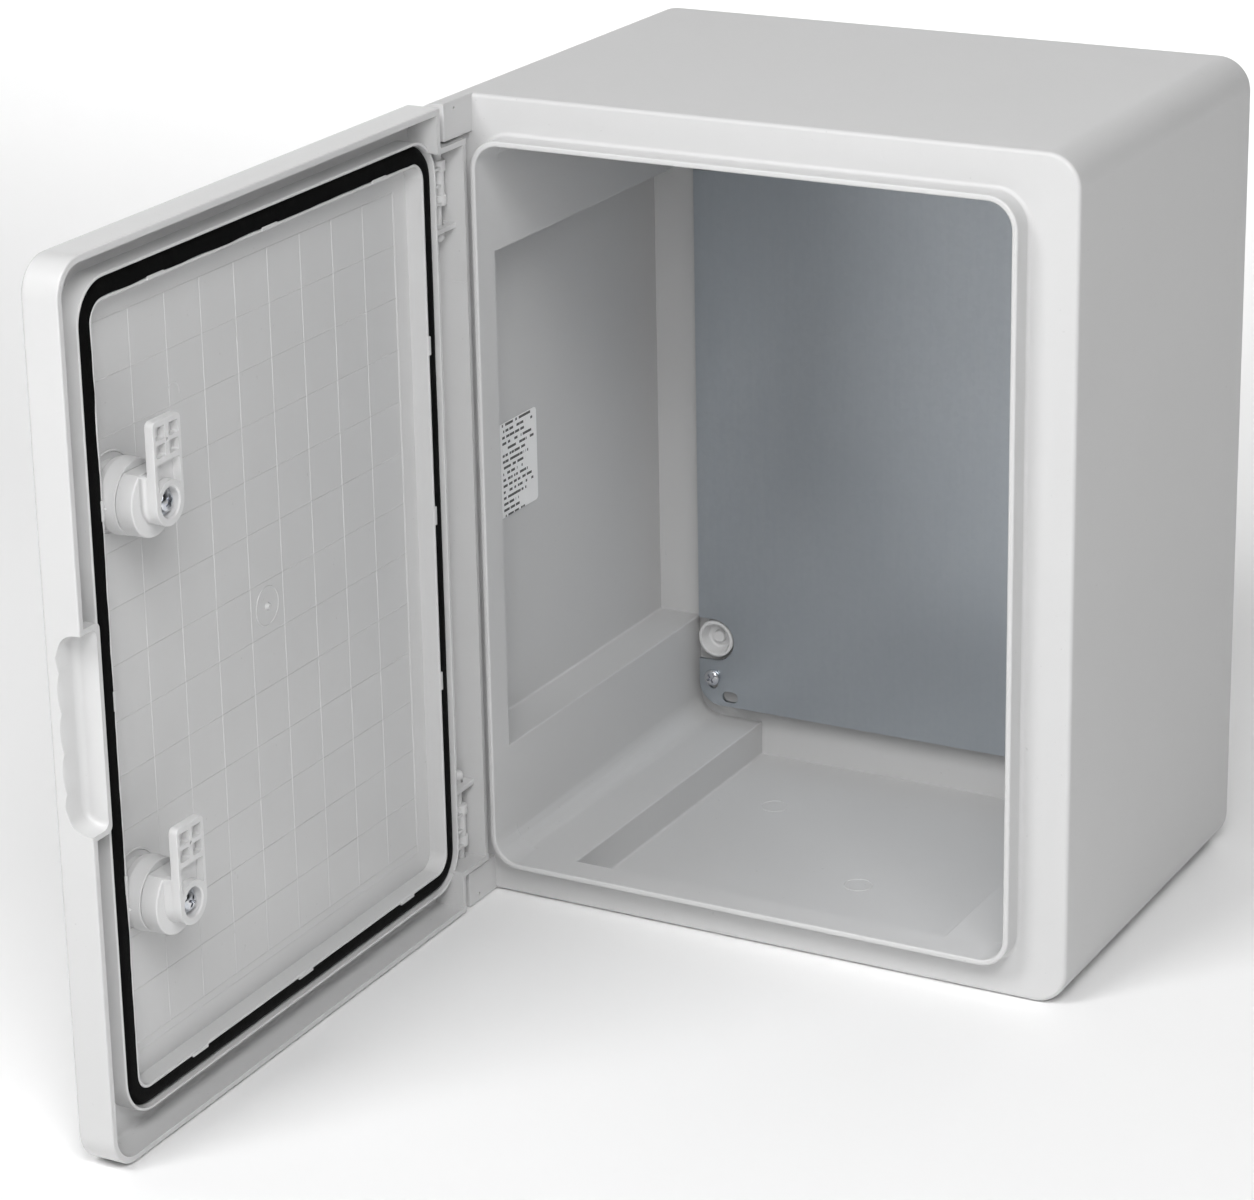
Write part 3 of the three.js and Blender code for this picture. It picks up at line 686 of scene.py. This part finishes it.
def pan_screw(centre, seat, facing, head, height, shank, length, turn):
    """Pan-head screw with a cross recess. The head stands on its seat towards facing."""
    x, z = centre

    def at(distance):
        return seat + facing * distance

    profile = [(0, at(height))]
    for step in range(1, 7):
        angle = math.radians(90 * step / 6)
        profile.append((head * math.sin(angle) ** 0.8, at(height * (0.3 + 0.7 * math.cos(angle)))))
    profile += [(head, at(0.15)), (head - 0.2, seat), (shank, seat)]
    pitch, depth = 1.2, 0.25
    crest = 1.0
    while crest + pitch < length - 1.5:
        profile += [
            (shank, at(-crest)),
            (shank + depth, at(-crest - pitch * 0.4)),
            (shank, at(-crest - pitch * 0.8)),
        ]
        crest += pitch
    profile += [(shank, at(1.2 - length)), (shank * 0.5, at(-length)), (0, at(-length))]
    screw = turned(profile, centre, steps=32)
    reach, half = head * 0.6, head * 0.13
    bottom, top = height * 0.35, height + 1
    cutters = []
    for across in (0, 1):
        rings = []
        for share, level in ((0.72, bottom), (1.12, top)):
            wide, narrow = (reach * share, half) if across else (half, reach * share)
            rings.append([(x - wide, at(level), z - narrow), (x + wide, at(level), z - narrow),
                          (x + wide, at(level), z + narrow), (x - wide, at(level), z + narrow)])
        cutters.append(loft(rings))
    cut(screw, *cutters)
    spin = Matrix.Translation((x, 0, z)) @ Matrix.Rotation(math.radians(turn), 4, "Y")
    screw.data.transform(spin @ Matrix.Translation((-x, 0, -z)))
    return screw


def make_plug(sideways, upward):
    """Cup with a rolled rim and a small raised disc in its middle."""
    seat = BACK_INNER - 0.3
    corners = [
        (0, seat - 4.6, 0), (3.0, seat - 4.6, 0.7), (3.6, seat - 2.6, 0.4), (6.6, seat - 2.4, 1.2),
        (8.2, seat - 9, 0.6), (10.2, seat - 9, 1.1), (10.0, seat, 0.3), (4.1, seat, 0), (4.1, seat + 5, 0.5),
        (0, seat + 5, 0),
    ]
    centre = (side_x(sideways, PLUG_AT[0]), end_z(upward, PLUG_AT[1]))
    return turned(rounded(corners, closed=False), centre, steps=48)


def make_label():
    face = LEFT + WALL + 0.3
    corners = [
        (LABEL_Y[0], LABEL_Z[0], 2.2), (LABEL_Y[1], LABEL_Z[0], 2.2),
        (LABEL_Y[1], LABEL_Z[1], 2.2), (LABEL_Y[0], LABEL_Z[1], 2.2),
    ]
    return side_prism(rounded(corners, steps=6), face, face + 0.35)


# --- Door ---------------------------------------------------------------------------------------

def door_tray():
    """The door's outer skin with its upstanding wall."""
    edge = DOOR_EDGE
    shell = rounded([(6, DOOR_FACE, 0), (0, DOOR_FACE, 2.4), (0, DOOR_LIP, 0.8), (1.6, DOOR_LIP, 0)],
                    closed=False, steps=5)
    tray = loft([outline(edge + inset, edge + inset, CORNER - inset, y) for inset, y in shell])
    wall = 3
    hollow = rounded([(0, DOOR_LIP + 2, 0), (0, DOOR_FLOOR, 1.4), (5, DOOR_FLOOR, 0)], closed=False)
    side = edge + wall
    rings = [outline(side + inset, side + inset, CORNER - wall - inset, y) for inset, y in hollow]
    return cut(tray, loft(rings))


def door_rib(corners):
    """Rib that runs round the gasket. Its section is given as distances outwards, heights and radii."""
    return loft([collar_line(outward, y) for outward, y in rounded(corners, steps=3)], ring_shaped=True)


def gasket_ribs():
    """The two ribs of the gasket's groove. They thin towards their tops, and the inner one is lower."""
    root = DOOR_FLOOR - 1
    outer = door_rib([(RIB_INNER, root, 0), (RIB_INNER, RIB_TOP - 4, 0.5), (RIB_INNER + 0.7, RIB_TOP, 0.6),
                      (RIB_OUTER, RIB_TOP, 0.6), (RIB_OUTER, root, 0)])
    low = RIB_TOP - 0.8
    inner = door_rib([(-RIB_OUTER, root, 0), (-RIB_OUTER, low, 0.6), (-RIB_INNER - 0.6, low, 0.6),
                      (-RIB_INNER, low - 3, 0.5), (-RIB_INNER, root, 0)])
    return outer, inner


def gasket_tabs():
    """Small tabs that hold the gasket down from the inner rib."""
    tabs = []
    inward = COLLAR_WALL / 2 - RIB_OUTER
    edge = (RIGHT - OPENING[0] + inward, MIDDLE - OPENING[1] + inward)
    y = (RIB_TOP - 1.4, RIB_TOP - 0.3)
    for x in TABS_X:
        for upward in (1, -1):
            z = sorted((MIDDLE + upward * (edge[1] + 0.4), MIDDLE + upward * (edge[1] + 2.2)))
            tabs.append(soften(block((x - 6, x + 6), y, z), 0.3))
    for z in TABS_Z:
        for sideways in (1, -1):
            x = sorted((sideways * (edge[0] + 0.4), sideways * (edge[0] + 2.2)))
            tabs.append(soften(block(x, y, (z - 4.5, z + 4.5)), 0.3))
    return tabs


def notch_walls(upward):
    """Walls that close the door round a hinge ear: one level, one upright."""
    inner = NOTCH_SIDE + NOTCH_WALL
    bottom = NOTCH_END + NOTCH_WALL
    outer, near, far = LEFT + DOOR_EDGE + 0.2, LEFT + NOTCH_SIDE - 1, LEFT + inner
    level, end = end_z(upward, NOTCH_END - 1), end_z(upward, DOOR_EDGE + 1)
    points = [
        (outer, level, 0), (near, level, 0), (near, end, 0), (far, end, 0),
        (far, end_z(upward, bottom), 1.0), (outer, end_z(upward, bottom), 0),
    ]
    return prism(rounded(points), DOOR_FLOOR - 1, DOOR_LIP)


def notch(upward):
    """What the door leaves free for a hinge ear."""
    points = [
        (LEFT - 2, end_z(upward, -2), 0), (LEFT + NOTCH_SIDE, end_z(upward, -2), 0),
        (LEFT + NOTCH_SIDE, end_z(upward, NOTCH_END), 1.2), (LEFT - 2, end_z(upward, NOTCH_END), 0),
    ]
    return prism(rounded(points), DOOR_FACE - 2, FRONT)


def pin_guides(upward):
    """Shelf round the pin's tail, and ribs that stiffen the rib beside the pin."""
    inner = LEFT + OPENING[0] - COLLAR_WALL / 2 - RIB_OUTER + 1

    def level(start, end, x0, x1, y1):
        return block((x0, x1), (DOOR_FLOOR - 1, y1), sorted((end_z(upward, start), end_z(upward, end))))

    shelf = level(59.3, 61.8, LEFT + DOOR_EDGE + 1.2, inner, RIB_TOP)
    soften(shelf, 0.35)
    ribs = [level(start, start + 1.4, HINGE[0] + 5.3, inner, RIB_TOP - 0.2) for start in (30.4, 38.5, 46.8)]
    return [shelf, *(soften(rib, 0.3) for rib in ribs)]


def grip_outline(margin, scallop):
    """Finger grip seen from the door's free side, in (y, z). Its floor is scalloped by a share."""
    half = GRIP_LENGTH / 2 + margin
    floor = GRIP_FLOOR - margin
    pitch = GRIP_LENGTH / FINGERS
    rise, run = GRIP_END
    points = [(DOOR_LIP + 3, MIDDLE - half), (floor + 11, MIDDLE - half)]
    for step in range(1, 6):
        angle = math.radians(90 * step / 6)
        points.append((floor + 11 - rise * math.sin(angle), MIDDLE - half + run * (1 - math.cos(angle))))
    steps = 8
    for finger in range(FINGERS):
        for step in range(steps + 1):
            z = MIDDLE - GRIP_LENGTH / 2 + pitch * (finger + step / steps)
            if abs(z - MIDDLE) > half - run - 1 or (step == steps and finger < FINGERS - 1):
                continue
            points.append((floor + 1.5 * (1 - scallop * math.sin(math.pi * step / steps) ** 0.8), z))
    for step in range(5, 0, -1):
        angle = math.radians(90 * step / 6)
        points.append((floor + 11 - rise * math.sin(angle), MIDDLE + half - run * (1 - math.cos(angle))))
    points += [(floor + 11, MIDDLE + half), (DOOR_LIP + 3, MIDDLE + half)]
    return points


def grip_block(margin, reach):
    """Solid that hollows out the grip. The scallops only shape its mouth."""
    depth = RIGHT - DOOR_EDGE - GRIP_DEPTH - margin
    stations = ((depth, 0), (RIGHT - DOOR_EDGE - GRIP_WALL, 0), (RIGHT - DOOR_EDGE, 1), (RIGHT + reach, 1))
    grip = loft([[(x, y, z) for y, z in grip_outline(margin, scallop)] for x, scallop in stations])
    builder = bmesh.new()
    builder.from_mesh(grip.data)
    near = [edge for edge in builder.edges if all(vert.co.x < depth + 0.01 for vert in edge.verts)
            and any(vert.co.y < DOOR_LIP for vert in edge.verts)]
    bmesh.ops.bevel(builder, geom=near, offset=3.2, segments=5, profile=0.5, affect="EDGES")
    builder.to_mesh(grip.data)
    builder.free()
    return grip


def panel_lines():
    """Thin raised lines that rule the door's inner panel into squares, and the moulding marks."""
    lines = []
    seat, top, half = DOOR_FLOOR - 0.2, DOOR_FLOOR + 0.2, 0.3
    low, high = GRID_FROM_Z, GRID_FROM_Z + GRID_PITCH_Z * (GRID_ROWS - 1)
    wide = GRID_PITCH_X * (GRID_COLUMNS - 1) / 2
    for count in range(GRID_COLUMNS):
        x = -wide + GRID_PITCH_X * count
        profile = [(x - half, seat), (x, top), (x + half, seat)]
        lines.append(loft([[(u, v, z) for u, v in profile] for z in (low, high)]))
    for count in range(GRID_ROWS):
        z = low + GRID_PITCH_Z * count
        profile = [(z - half, seat), (z, top), (z + half, seat)]
        lines.append(loft([[(x, v, u) for u, v in profile] for x in (-wide, wide)]))
    gate = [(0, DOOR_FLOOR + 1.4, 0), (1.3, DOOR_FLOOR + 1.4, 0.5), (1.9, DOOR_FLOOR - 0.5, 0),
            (0, DOOR_FLOOR - 0.5, 0)]
    marks = [ring_mark(9, GATE_AT, DOOR_FLOOR, 1), turned(rounded(gate, closed=False), GATE_AT, steps=24)]
    part_ring = block((55, 66), (DOOR_FLOOR - 1, DOOR_LIP), (317, 325))
    marks.append(common(ring_mark(4.6, (62.6, 318), DOOR_FLOOR, 1, height=0.2), part_ring))
    for _, upward in LEVELS:
        marks.append(ring_mark(17.6, lock_centre(upward), DOOR_FLOOR, 1, height=0.5, width=0.8))
    wall = LEFT + DOOR_EDGE + 3
    seam = block((wall - 0.4, wall + 0.2), (DOOR_FLOOR + 1.6, DOOR_LIP - 0.6), (311.6, 312.4))
    return lines + marks + [seam]


def panel_border():
    """Strip between the ruled field and the rib round it. It rises a little towards the rib."""
    inset = COLLAR_WALL / 2 + RIB_OUTER - 0.2
    side, end = OPENING[0] - COLLAR_WALL + inset, OPENING[1] - COLLAR_WALL + inset
    corner = OPENING[2] + COLLAR_WALL - inset
    profile = [
        (0, DOOR_FLOOR - 0.3), (0, DOOR_FLOOR + 0.45), (10.7, DOOR_FLOOR + 0.14), (11, DOOR_FLOOR - 0.3),
    ]
    return loft([outline(side + inward, end + inward, max(corner - inward, 1.2), y) for inward, y in profile],
                ring_shaped=True)


def make_door():
    """The moulded door with its ribs, notches, pin guides, lock holes, finger grip and panel marks."""
    door = door_tray()
    union(door, *gasket_ribs())
    for _, upward in LEVELS:
        lock_boss = rod(14.5, DOOR_FLOOR - 1, DOOR_FACE + 6.5, *lock_centre(upward))
        union(door, notch_walls(upward), *pin_guides(upward), lock_boss)
    limits = block((120, RIGHT - DOOR_EDGE - 1), (DOOR_FACE + 1, DOOR_LIP), (0, HEIGHT))
    union(door, common(grip_block(GRIP_WALL, 0), limits))
    for _, upward in LEVELS:
        ends = sorted((end_z(upward, 1), end_z(upward, 66)))
        lock_hole = rod(LOCK_HOLE, DOOR_FACE - 2, DOOR_FACE + 9, *lock_centre(upward))
        cut(door, lock_hole, upright_rod(PIN_HOLE, *ends, *HINGE), notch(upward))
    cut(door, grip_block(0, 6))
    return gather(door, panel_border(), *panel_lines(), *gasket_tabs())


def make_gasket():
    """Poured foam ring in the groove: domed, with wavering edges that spill over the inner rib."""
    half = RIB_INNER - 0.35
    top = GASKET_TOP
    root = DOOR_FLOOR + 0.3
    section = [
        (-half, root, 0), (-half, top - 4.4, 0), (-half - 0.2, top - 0.7, 0), (-half - 0.4, top, 1),
        (-half + 0.8, top, 0.5), (-half * 0.45, top, 0), (half * 0.1, top - 0.1, 0),
        (half * 0.6, top - 0.8, 0), (half + 0.35, top - 2.6, 0.4), (half, top - 4.4, 0), (half, root, 0),
    ]
    rings = []
    for outward, y, spill in section:
        ring = []
        inner, outer = collar_line(outward - 1, y, spacing=4), collar_line(outward, y, spacing=4)
        for near, far in zip(inner, outer):
            x, z = far[0], far[2]
            wave = noise.noise(Vector((x, z, 0)) / 22) + 0.5 * noise.noise(Vector((x, z, 9)) / 7)
            point = Vector(far).lerp(Vector(near), max(0, spill * (0.3 + 0.5 * wave)))
            ring.append((point.x, y - 0.1 + 0.12 * wave if y > top - 1 else y, point.z))
        rings.append(ring)
    return loft(rings, ring_shaped=True)


def make_hinge_pin(upward):
    """Pin with two collars, a knob between them and a ball tail. It starts in the ear."""
    distances = [
        (0, 10.5, 0), (1.3, 10.5, 0.3), (2.2, 11.6, 0.3), (2.2, 28.4, 0), (4.1, 28.4, 0.5), (4.1, 34, 0.5),
        (3.3, 34, 0), (3.3, 45, 0), (4.1, 45, 0.5), (4.1, 50, 0.5), (1.7, 50, 0), (1.7, 62.4, 0),
    ]
    for step in range(6):
        angle = math.radians(35 + 29 * step)
        distances.append((2.9 * math.sin(angle), 65 - 2.9 * math.cos(angle), 0))
    distances[-1] = (0, 67.9, 0)
    line = rounded(distances, closed=False, steps=3)
    profile = [(radius, end_z(upward, distance)) for radius, distance in line]
    pin = turned(profile, HINGE, axis="Z", steps=32)
    knob_line = rounded([(0, 0, 0), (1.7, 0, 0), (1.3, 4.6, 0.6), (0, 4.8, 0)], closed=False)
    knob = turned(knob_line, (0, 0), axis="Z", steps=24)
    place = Matrix.Translation((*HINGE, end_z(upward, KNOB_AT)))
    knob.data.transform(place @ Matrix.Rotation(math.pi / 2, 4, "Y"))
    return union(pin, knob)


# --- Lock ---------------------------------------------------------------------------------------

def lock_centre(upward):
    return LOCK_X, MIDDLE + upward * LOCK_OFFSET


def make_lock_housing(upward):
    """Outside flange and the barrel through the door."""
    corners = [
        (7.6, DOOR_FACE - 3.4, 0.5), (13.2, DOOR_FACE - 3.4, 0.8), (14.4, DOOR_FACE - 1.6, 0.4),
        (LOCK_HOLE - 0.4, DOOR_FACE - 1.6, 0), (LOCK_HOLE - 0.4, DOOR_FACE + 16.6, 0.6),
        (7.6, DOOR_FACE + 16.6, 0.4),
    ]
    return turned(rounded(corners, steps=3), lock_centre(upward), steps=64)


def make_lock_seal(upward):
    """Flat ring between the flange and the door's outer face."""
    corners = [
        (11.4, DOOR_FACE - 1.3, 0.3), (13.8, DOOR_FACE - 1.3, 0.3),
        (13.8, DOOR_FACE - 0.3, 0.3), (11.4, DOOR_FACE - 0.3, 0.3),
    ]
    return turned(rounded(corners, steps=3), lock_centre(upward), steps=64)


def make_lock_nut(upward):
    """Drum-shaped nut with a barrelled side and a small moulding nub on it."""
    corners = [
        (LOCK_HOLE, DOOR_FACE + 6.8, 0), (15.8, DOOR_FACE + 6.8, 0.8), (16.6, DOOR_FACE + 10, 3),
        (16.1, DOOR_FACE + 17, 0.35), (LOCK_HOLE, DOOR_FACE + 17, 0),
    ]
    nut = turned(rounded(corners, steps=4), lock_centre(upward), steps=72)
    nub_line = rounded([(0, -1, 0), (0.9, -1, 0.2), (0.7, 1, 0.5), (0, 1, 0)], closed=False)
    nub = turned(nub_line, (0, 0), steps=20)
    nub.data.transform(Matrix.Translation((LOCK_X + 16.2, DOOR_FACE + 11, lock_centre(upward)[1] - 1))
                       @ Matrix.Rotation(math.radians(-90), 4, "Z") @ Matrix.Diagonal((2.2, 1, 1, 1)))
    return union(nut, nub)


def make_lock_rotor(upward):
    """Slotted rotor with a square end for the cam."""
    x, z = lock_centre(upward)
    corners = [
        (0, DOOR_FACE - 3, 0), (7.2, DOOR_FACE - 3, 0.5), (7.2, DOOR_FACE + 17, 0.3), (0, DOOR_FACE + 17, 0),
    ]
    rotor = turned(rounded(corners, closed=False, steps=3), (x, z), steps=48)
    square = soften(block((x - 4, x + 4), (DOOR_FACE + 15, DOOR_FACE + 25), (z - 4, z + 4)), 0.4)
    slot_cut = block((x - 1.2, x + 1.2), (DOOR_FACE - 5, DOOR_FACE), (z - 5.6, z + 5.6))
    union(rotor, square)
    return cut(rotor, rod(1.9, DOOR_FACE + 15, DOOR_FACE + 27, x, z, steps=24), slot_cut)


def cam_outline(half, tip, corner, x, z):
    """Arm seen from inside: half round at the hub, round corners at the tip."""
    points = []
    for step in range(25):
        angle = math.radians(180 + 180 * step / 24)
        points.append((x + half * math.cos(angle), z + half * math.sin(angle)))
    end = z + tip
    ends = [(x + half, z, 0), (x + half, end, corner), (x - half, end, corner), (x - half, z, 0)]
    return points + rounded(ends, closed=False, steps=6)[1:-1]


def make_lock_cam(upward):
    """Hub disc and arm. The arm has four small pockets, a large one and a counterbore for its screw."""
    x, z = lock_centre(upward)
    blade = prism(cam_outline(CAM_HALF, CAM_TIP, 2.6, x, z), CAM_BACK, CAM_FRONT)
    soften(blade, 0.35, segments=3)
    root = prism(cam_outline(CAM_HALF - 0.1, CAM_ROOT - 0.1, 0.4, x, z), CAM_HUB + 2, CAM_BACK + 1.2)
    disc_top = CAM_HUB + CAM_DISC_DEPTH
    disc_corners = [
        (0, CAM_HUB, 0), (CAM_DISC, CAM_HUB, 0.2), (CAM_DISC - 0.1, disc_top, 0.7), (0, disc_top, 0),
    ]
    disc = turned(rounded(disc_corners, closed=False, steps=3), (x, z), steps=72)
    common(disc, block((x - 20, x + 20), (CAM_HUB - 1, CAM_FRONT), (z - 20, z + CAM_ROOT)))
    cam = union(blade, root, disc)
    floor = CAM_FRONT - POCKET_DEPTH
    tools = []

    def pocket(x0, x1, z0, z1):
        corners = [(x + x0, z + z0, 0.7), (x + x1, z + z0, 0.7), (x + x1, z + z1, 0.7), (x + x0, z + z1, 0.7)]
        return prism(rounded(corners, steps=3), floor, CAM_FRONT + 2)

    for left in (-8, 1.3):
        tools += [pocket(left, left + 6.7, low, low + 5.6) for low in (20.6, 28.2)]
    large = pocket(-8, 8, 6, 18.2)
    cut(large, rod(9.7, floor - 1, CAM_FRONT + 3, x, z))
    tools.append(large)
    counterbore = [
        (0, CAM_FRONT + 2, 0), (7.1, CAM_FRONT + 2, 0), (7.1, CAM_FRONT, 0), (6.5, CAM_FRONT - 0.6, 0),
        (6.5, CAM_FRONT - 5, 0.5), (0, CAM_FRONT - 5, 0),
    ]
    tools.append(turned(rounded(counterbore, closed=False), (x, z)))
    tools.append(block((x - 4.3, x + 4.3), (CAM_HUB - 2, DOOR_FACE + 25.3), (z - 4.3, z + 4.3)))
    tools.append(rod(2.6, CAM_HUB, CAM_FRONT, x, z, steps=24))
    tools.append(rod(0.8, floor, CAM_FRONT + 1, x, z + 27.2, steps=16))
    return cut(cam, *tools)


def make_cam_washer(upward):
    """Flat washer at the bottom of the cam's counterbore."""
    back = CAM_FRONT - 4.7
    corners = [(2.6, back, 0), (6.2, back, 0.2), (6.2, back + 0.9, 0.25), (2.6, back + 0.9, 0.2)]
    return turned(rounded(corners, steps=2), lock_centre(upward), steps=48)


# --- Scene --------------------------------------------------------------------------------------

def add_pieces():
    body_plastic = moulded_plastic("body_plastic", 0.60, 0.41, 0.08)
    door_plastic = moulded_plastic("door_plastic", 0.61, 0.25, 0.03)
    fitting_plastic = moulded_plastic("fitting_plastic", 0.66, 0.40, 0.06)
    rubber, sheet, plated = foam_rubber(), galvanised_sheet(), plated_steel()
    install(make_body(), "enclosure_body", body_plastic)
    install(make_plate(), "mounting_plate", sheet)
    install(make_label(), "data_label", printed_film())
    for number, (sideways, upward) in enumerate(CORNERS, 1):
        centre = (side_x(sideways, SCREW_AT[0]), end_z(upward, SCREW_AT[1]))
        screw = pan_screw(centre, PLATE_FRONT - 0.3, -1, head=4.4, height=3, shank=2.0, length=10.6,
                          turn=20 + 37 * number)
        install(screw, f"plate_screw_{number}", plated)
        install(make_plug(sideways, upward), f"wall_plug_{number}", fitting_plastic)
    install(make_door(), "door_shell", door_plastic)
    install(make_gasket(), "door_gasket", rubber)
    for level, upward in LEVELS:
        install(make_hinge_pin(upward), f"{level}_hinge_pin", fitting_plastic)
        install(make_lock_housing(upward), f"{level}_lock_housing", fitting_plastic)
        install(make_lock_seal(upward), f"{level}_lock_seal", rubber)
        install(make_lock_nut(upward), f"{level}_lock_nut", fitting_plastic)
        install(make_lock_rotor(upward), f"{level}_lock_rotor", fitting_plastic)
        install(make_lock_cam(upward), f"{level}_lock_cam", fitting_plastic)
        install(make_cam_washer(upward), f"{level}_cam_washer", plated)
        screw = pan_screw(lock_centre(upward), CAM_FRONT - 3.5, 1, head=4.6, height=2.8, shank=1.4,
                          length=10.5, turn=25 * upward)
        install(screw, f"{level}_cam_screw", plated)


def add_floor():
    """Pale floor that curves up into a backdrop."""
    profile = [(-6, 0), (1.6, 0)]
    for step in range(1, 13):
        angle = math.radians(90 * step / 12)
        profile.append((1.6 + 1.2 * math.sin(angle), 1.2 * (1 - math.cos(angle))))
    profile.append((2.8, 5))
    builder = bmesh.new()
    rows = [[builder.verts.new((x, y, z - 0.0005)) for y, z in profile] for x in (-7, 7)]
    for i in range(len(profile) - 1):
        builder.faces.new((rows[0][i], rows[1][i], rows[1][i + 1], rows[0][i + 1]))
    floor = piece_from(builder, "floor")
    for polygon in floor.data.polygons:
        polygon.use_smooth = True
    make = Finish("studio_floor")
    base = make.mixed(make.ranged(make.noise(3, 3), 0, 1), grey(0.94), grey(0.955))
    floor.data.materials.append(make.finish(Base_Color=base, Roughness=0.7))


def add_light(name, azimuth, elevation, distance, size, power, aim=(0, -0.1, 0.2)):
    """Rectangular softbox. Its azimuth is counted from the front towards the object's right."""
    turn, tilt = math.radians(azimuth), math.radians(elevation)
    away = Vector((math.sin(turn) * math.cos(tilt), -math.cos(turn) * math.cos(tilt), math.sin(tilt)))
    data = bpy.data.lights.new(name, "AREA")
    data.shape = "RECTANGLE"
    data.size, data.size_y = size
    data.energy = power
    light = bpy.data.objects.new(name, data)
    light.location = Vector(aim) + away * distance
    light.rotation_euler = away.to_track_quat("Z", "Y").to_euler()
    bpy.context.scene.collection.objects.link(light)


def add_lights():
    add_light("key", 35, 45, 2.6, (1.0, 1.0), 27)
    add_light("left_key", -20, 45, 2.6, (1.0, 1.0), 34)
    add_light("door_fill", 30, 30, 1.2, (0.5, 0.5), 4.4, aim=(-0.1, -0.3, 0.2))
    add_light("right_fill", 60, 25, 2.8, (1.2, 1.2), 6)
    add_light("floor_fill", -90, 50, 1.3, (1.2, 1.2), 6, aim=(-0.9, -0.3, 0.0))
    add_light("backdrop", 0, 60, 1.3, (4.0, 1.2), 34, aim=(-1.1, 2.3, 0.3))
    world = bpy.data.worlds.new("studio")
    world.use_nodes = True
    sky = world.node_tree.nodes["Background"]
    sky.inputs["Color"].default_value = (1, 1, 1, 1)
    sky.inputs["Strength"].default_value = 0.02
    bpy.context.scene.world = world
    bpy.context.scene.view_settings.view_transform = "Standard"


add_camera()
add_pieces()
add_floor()
add_lights()
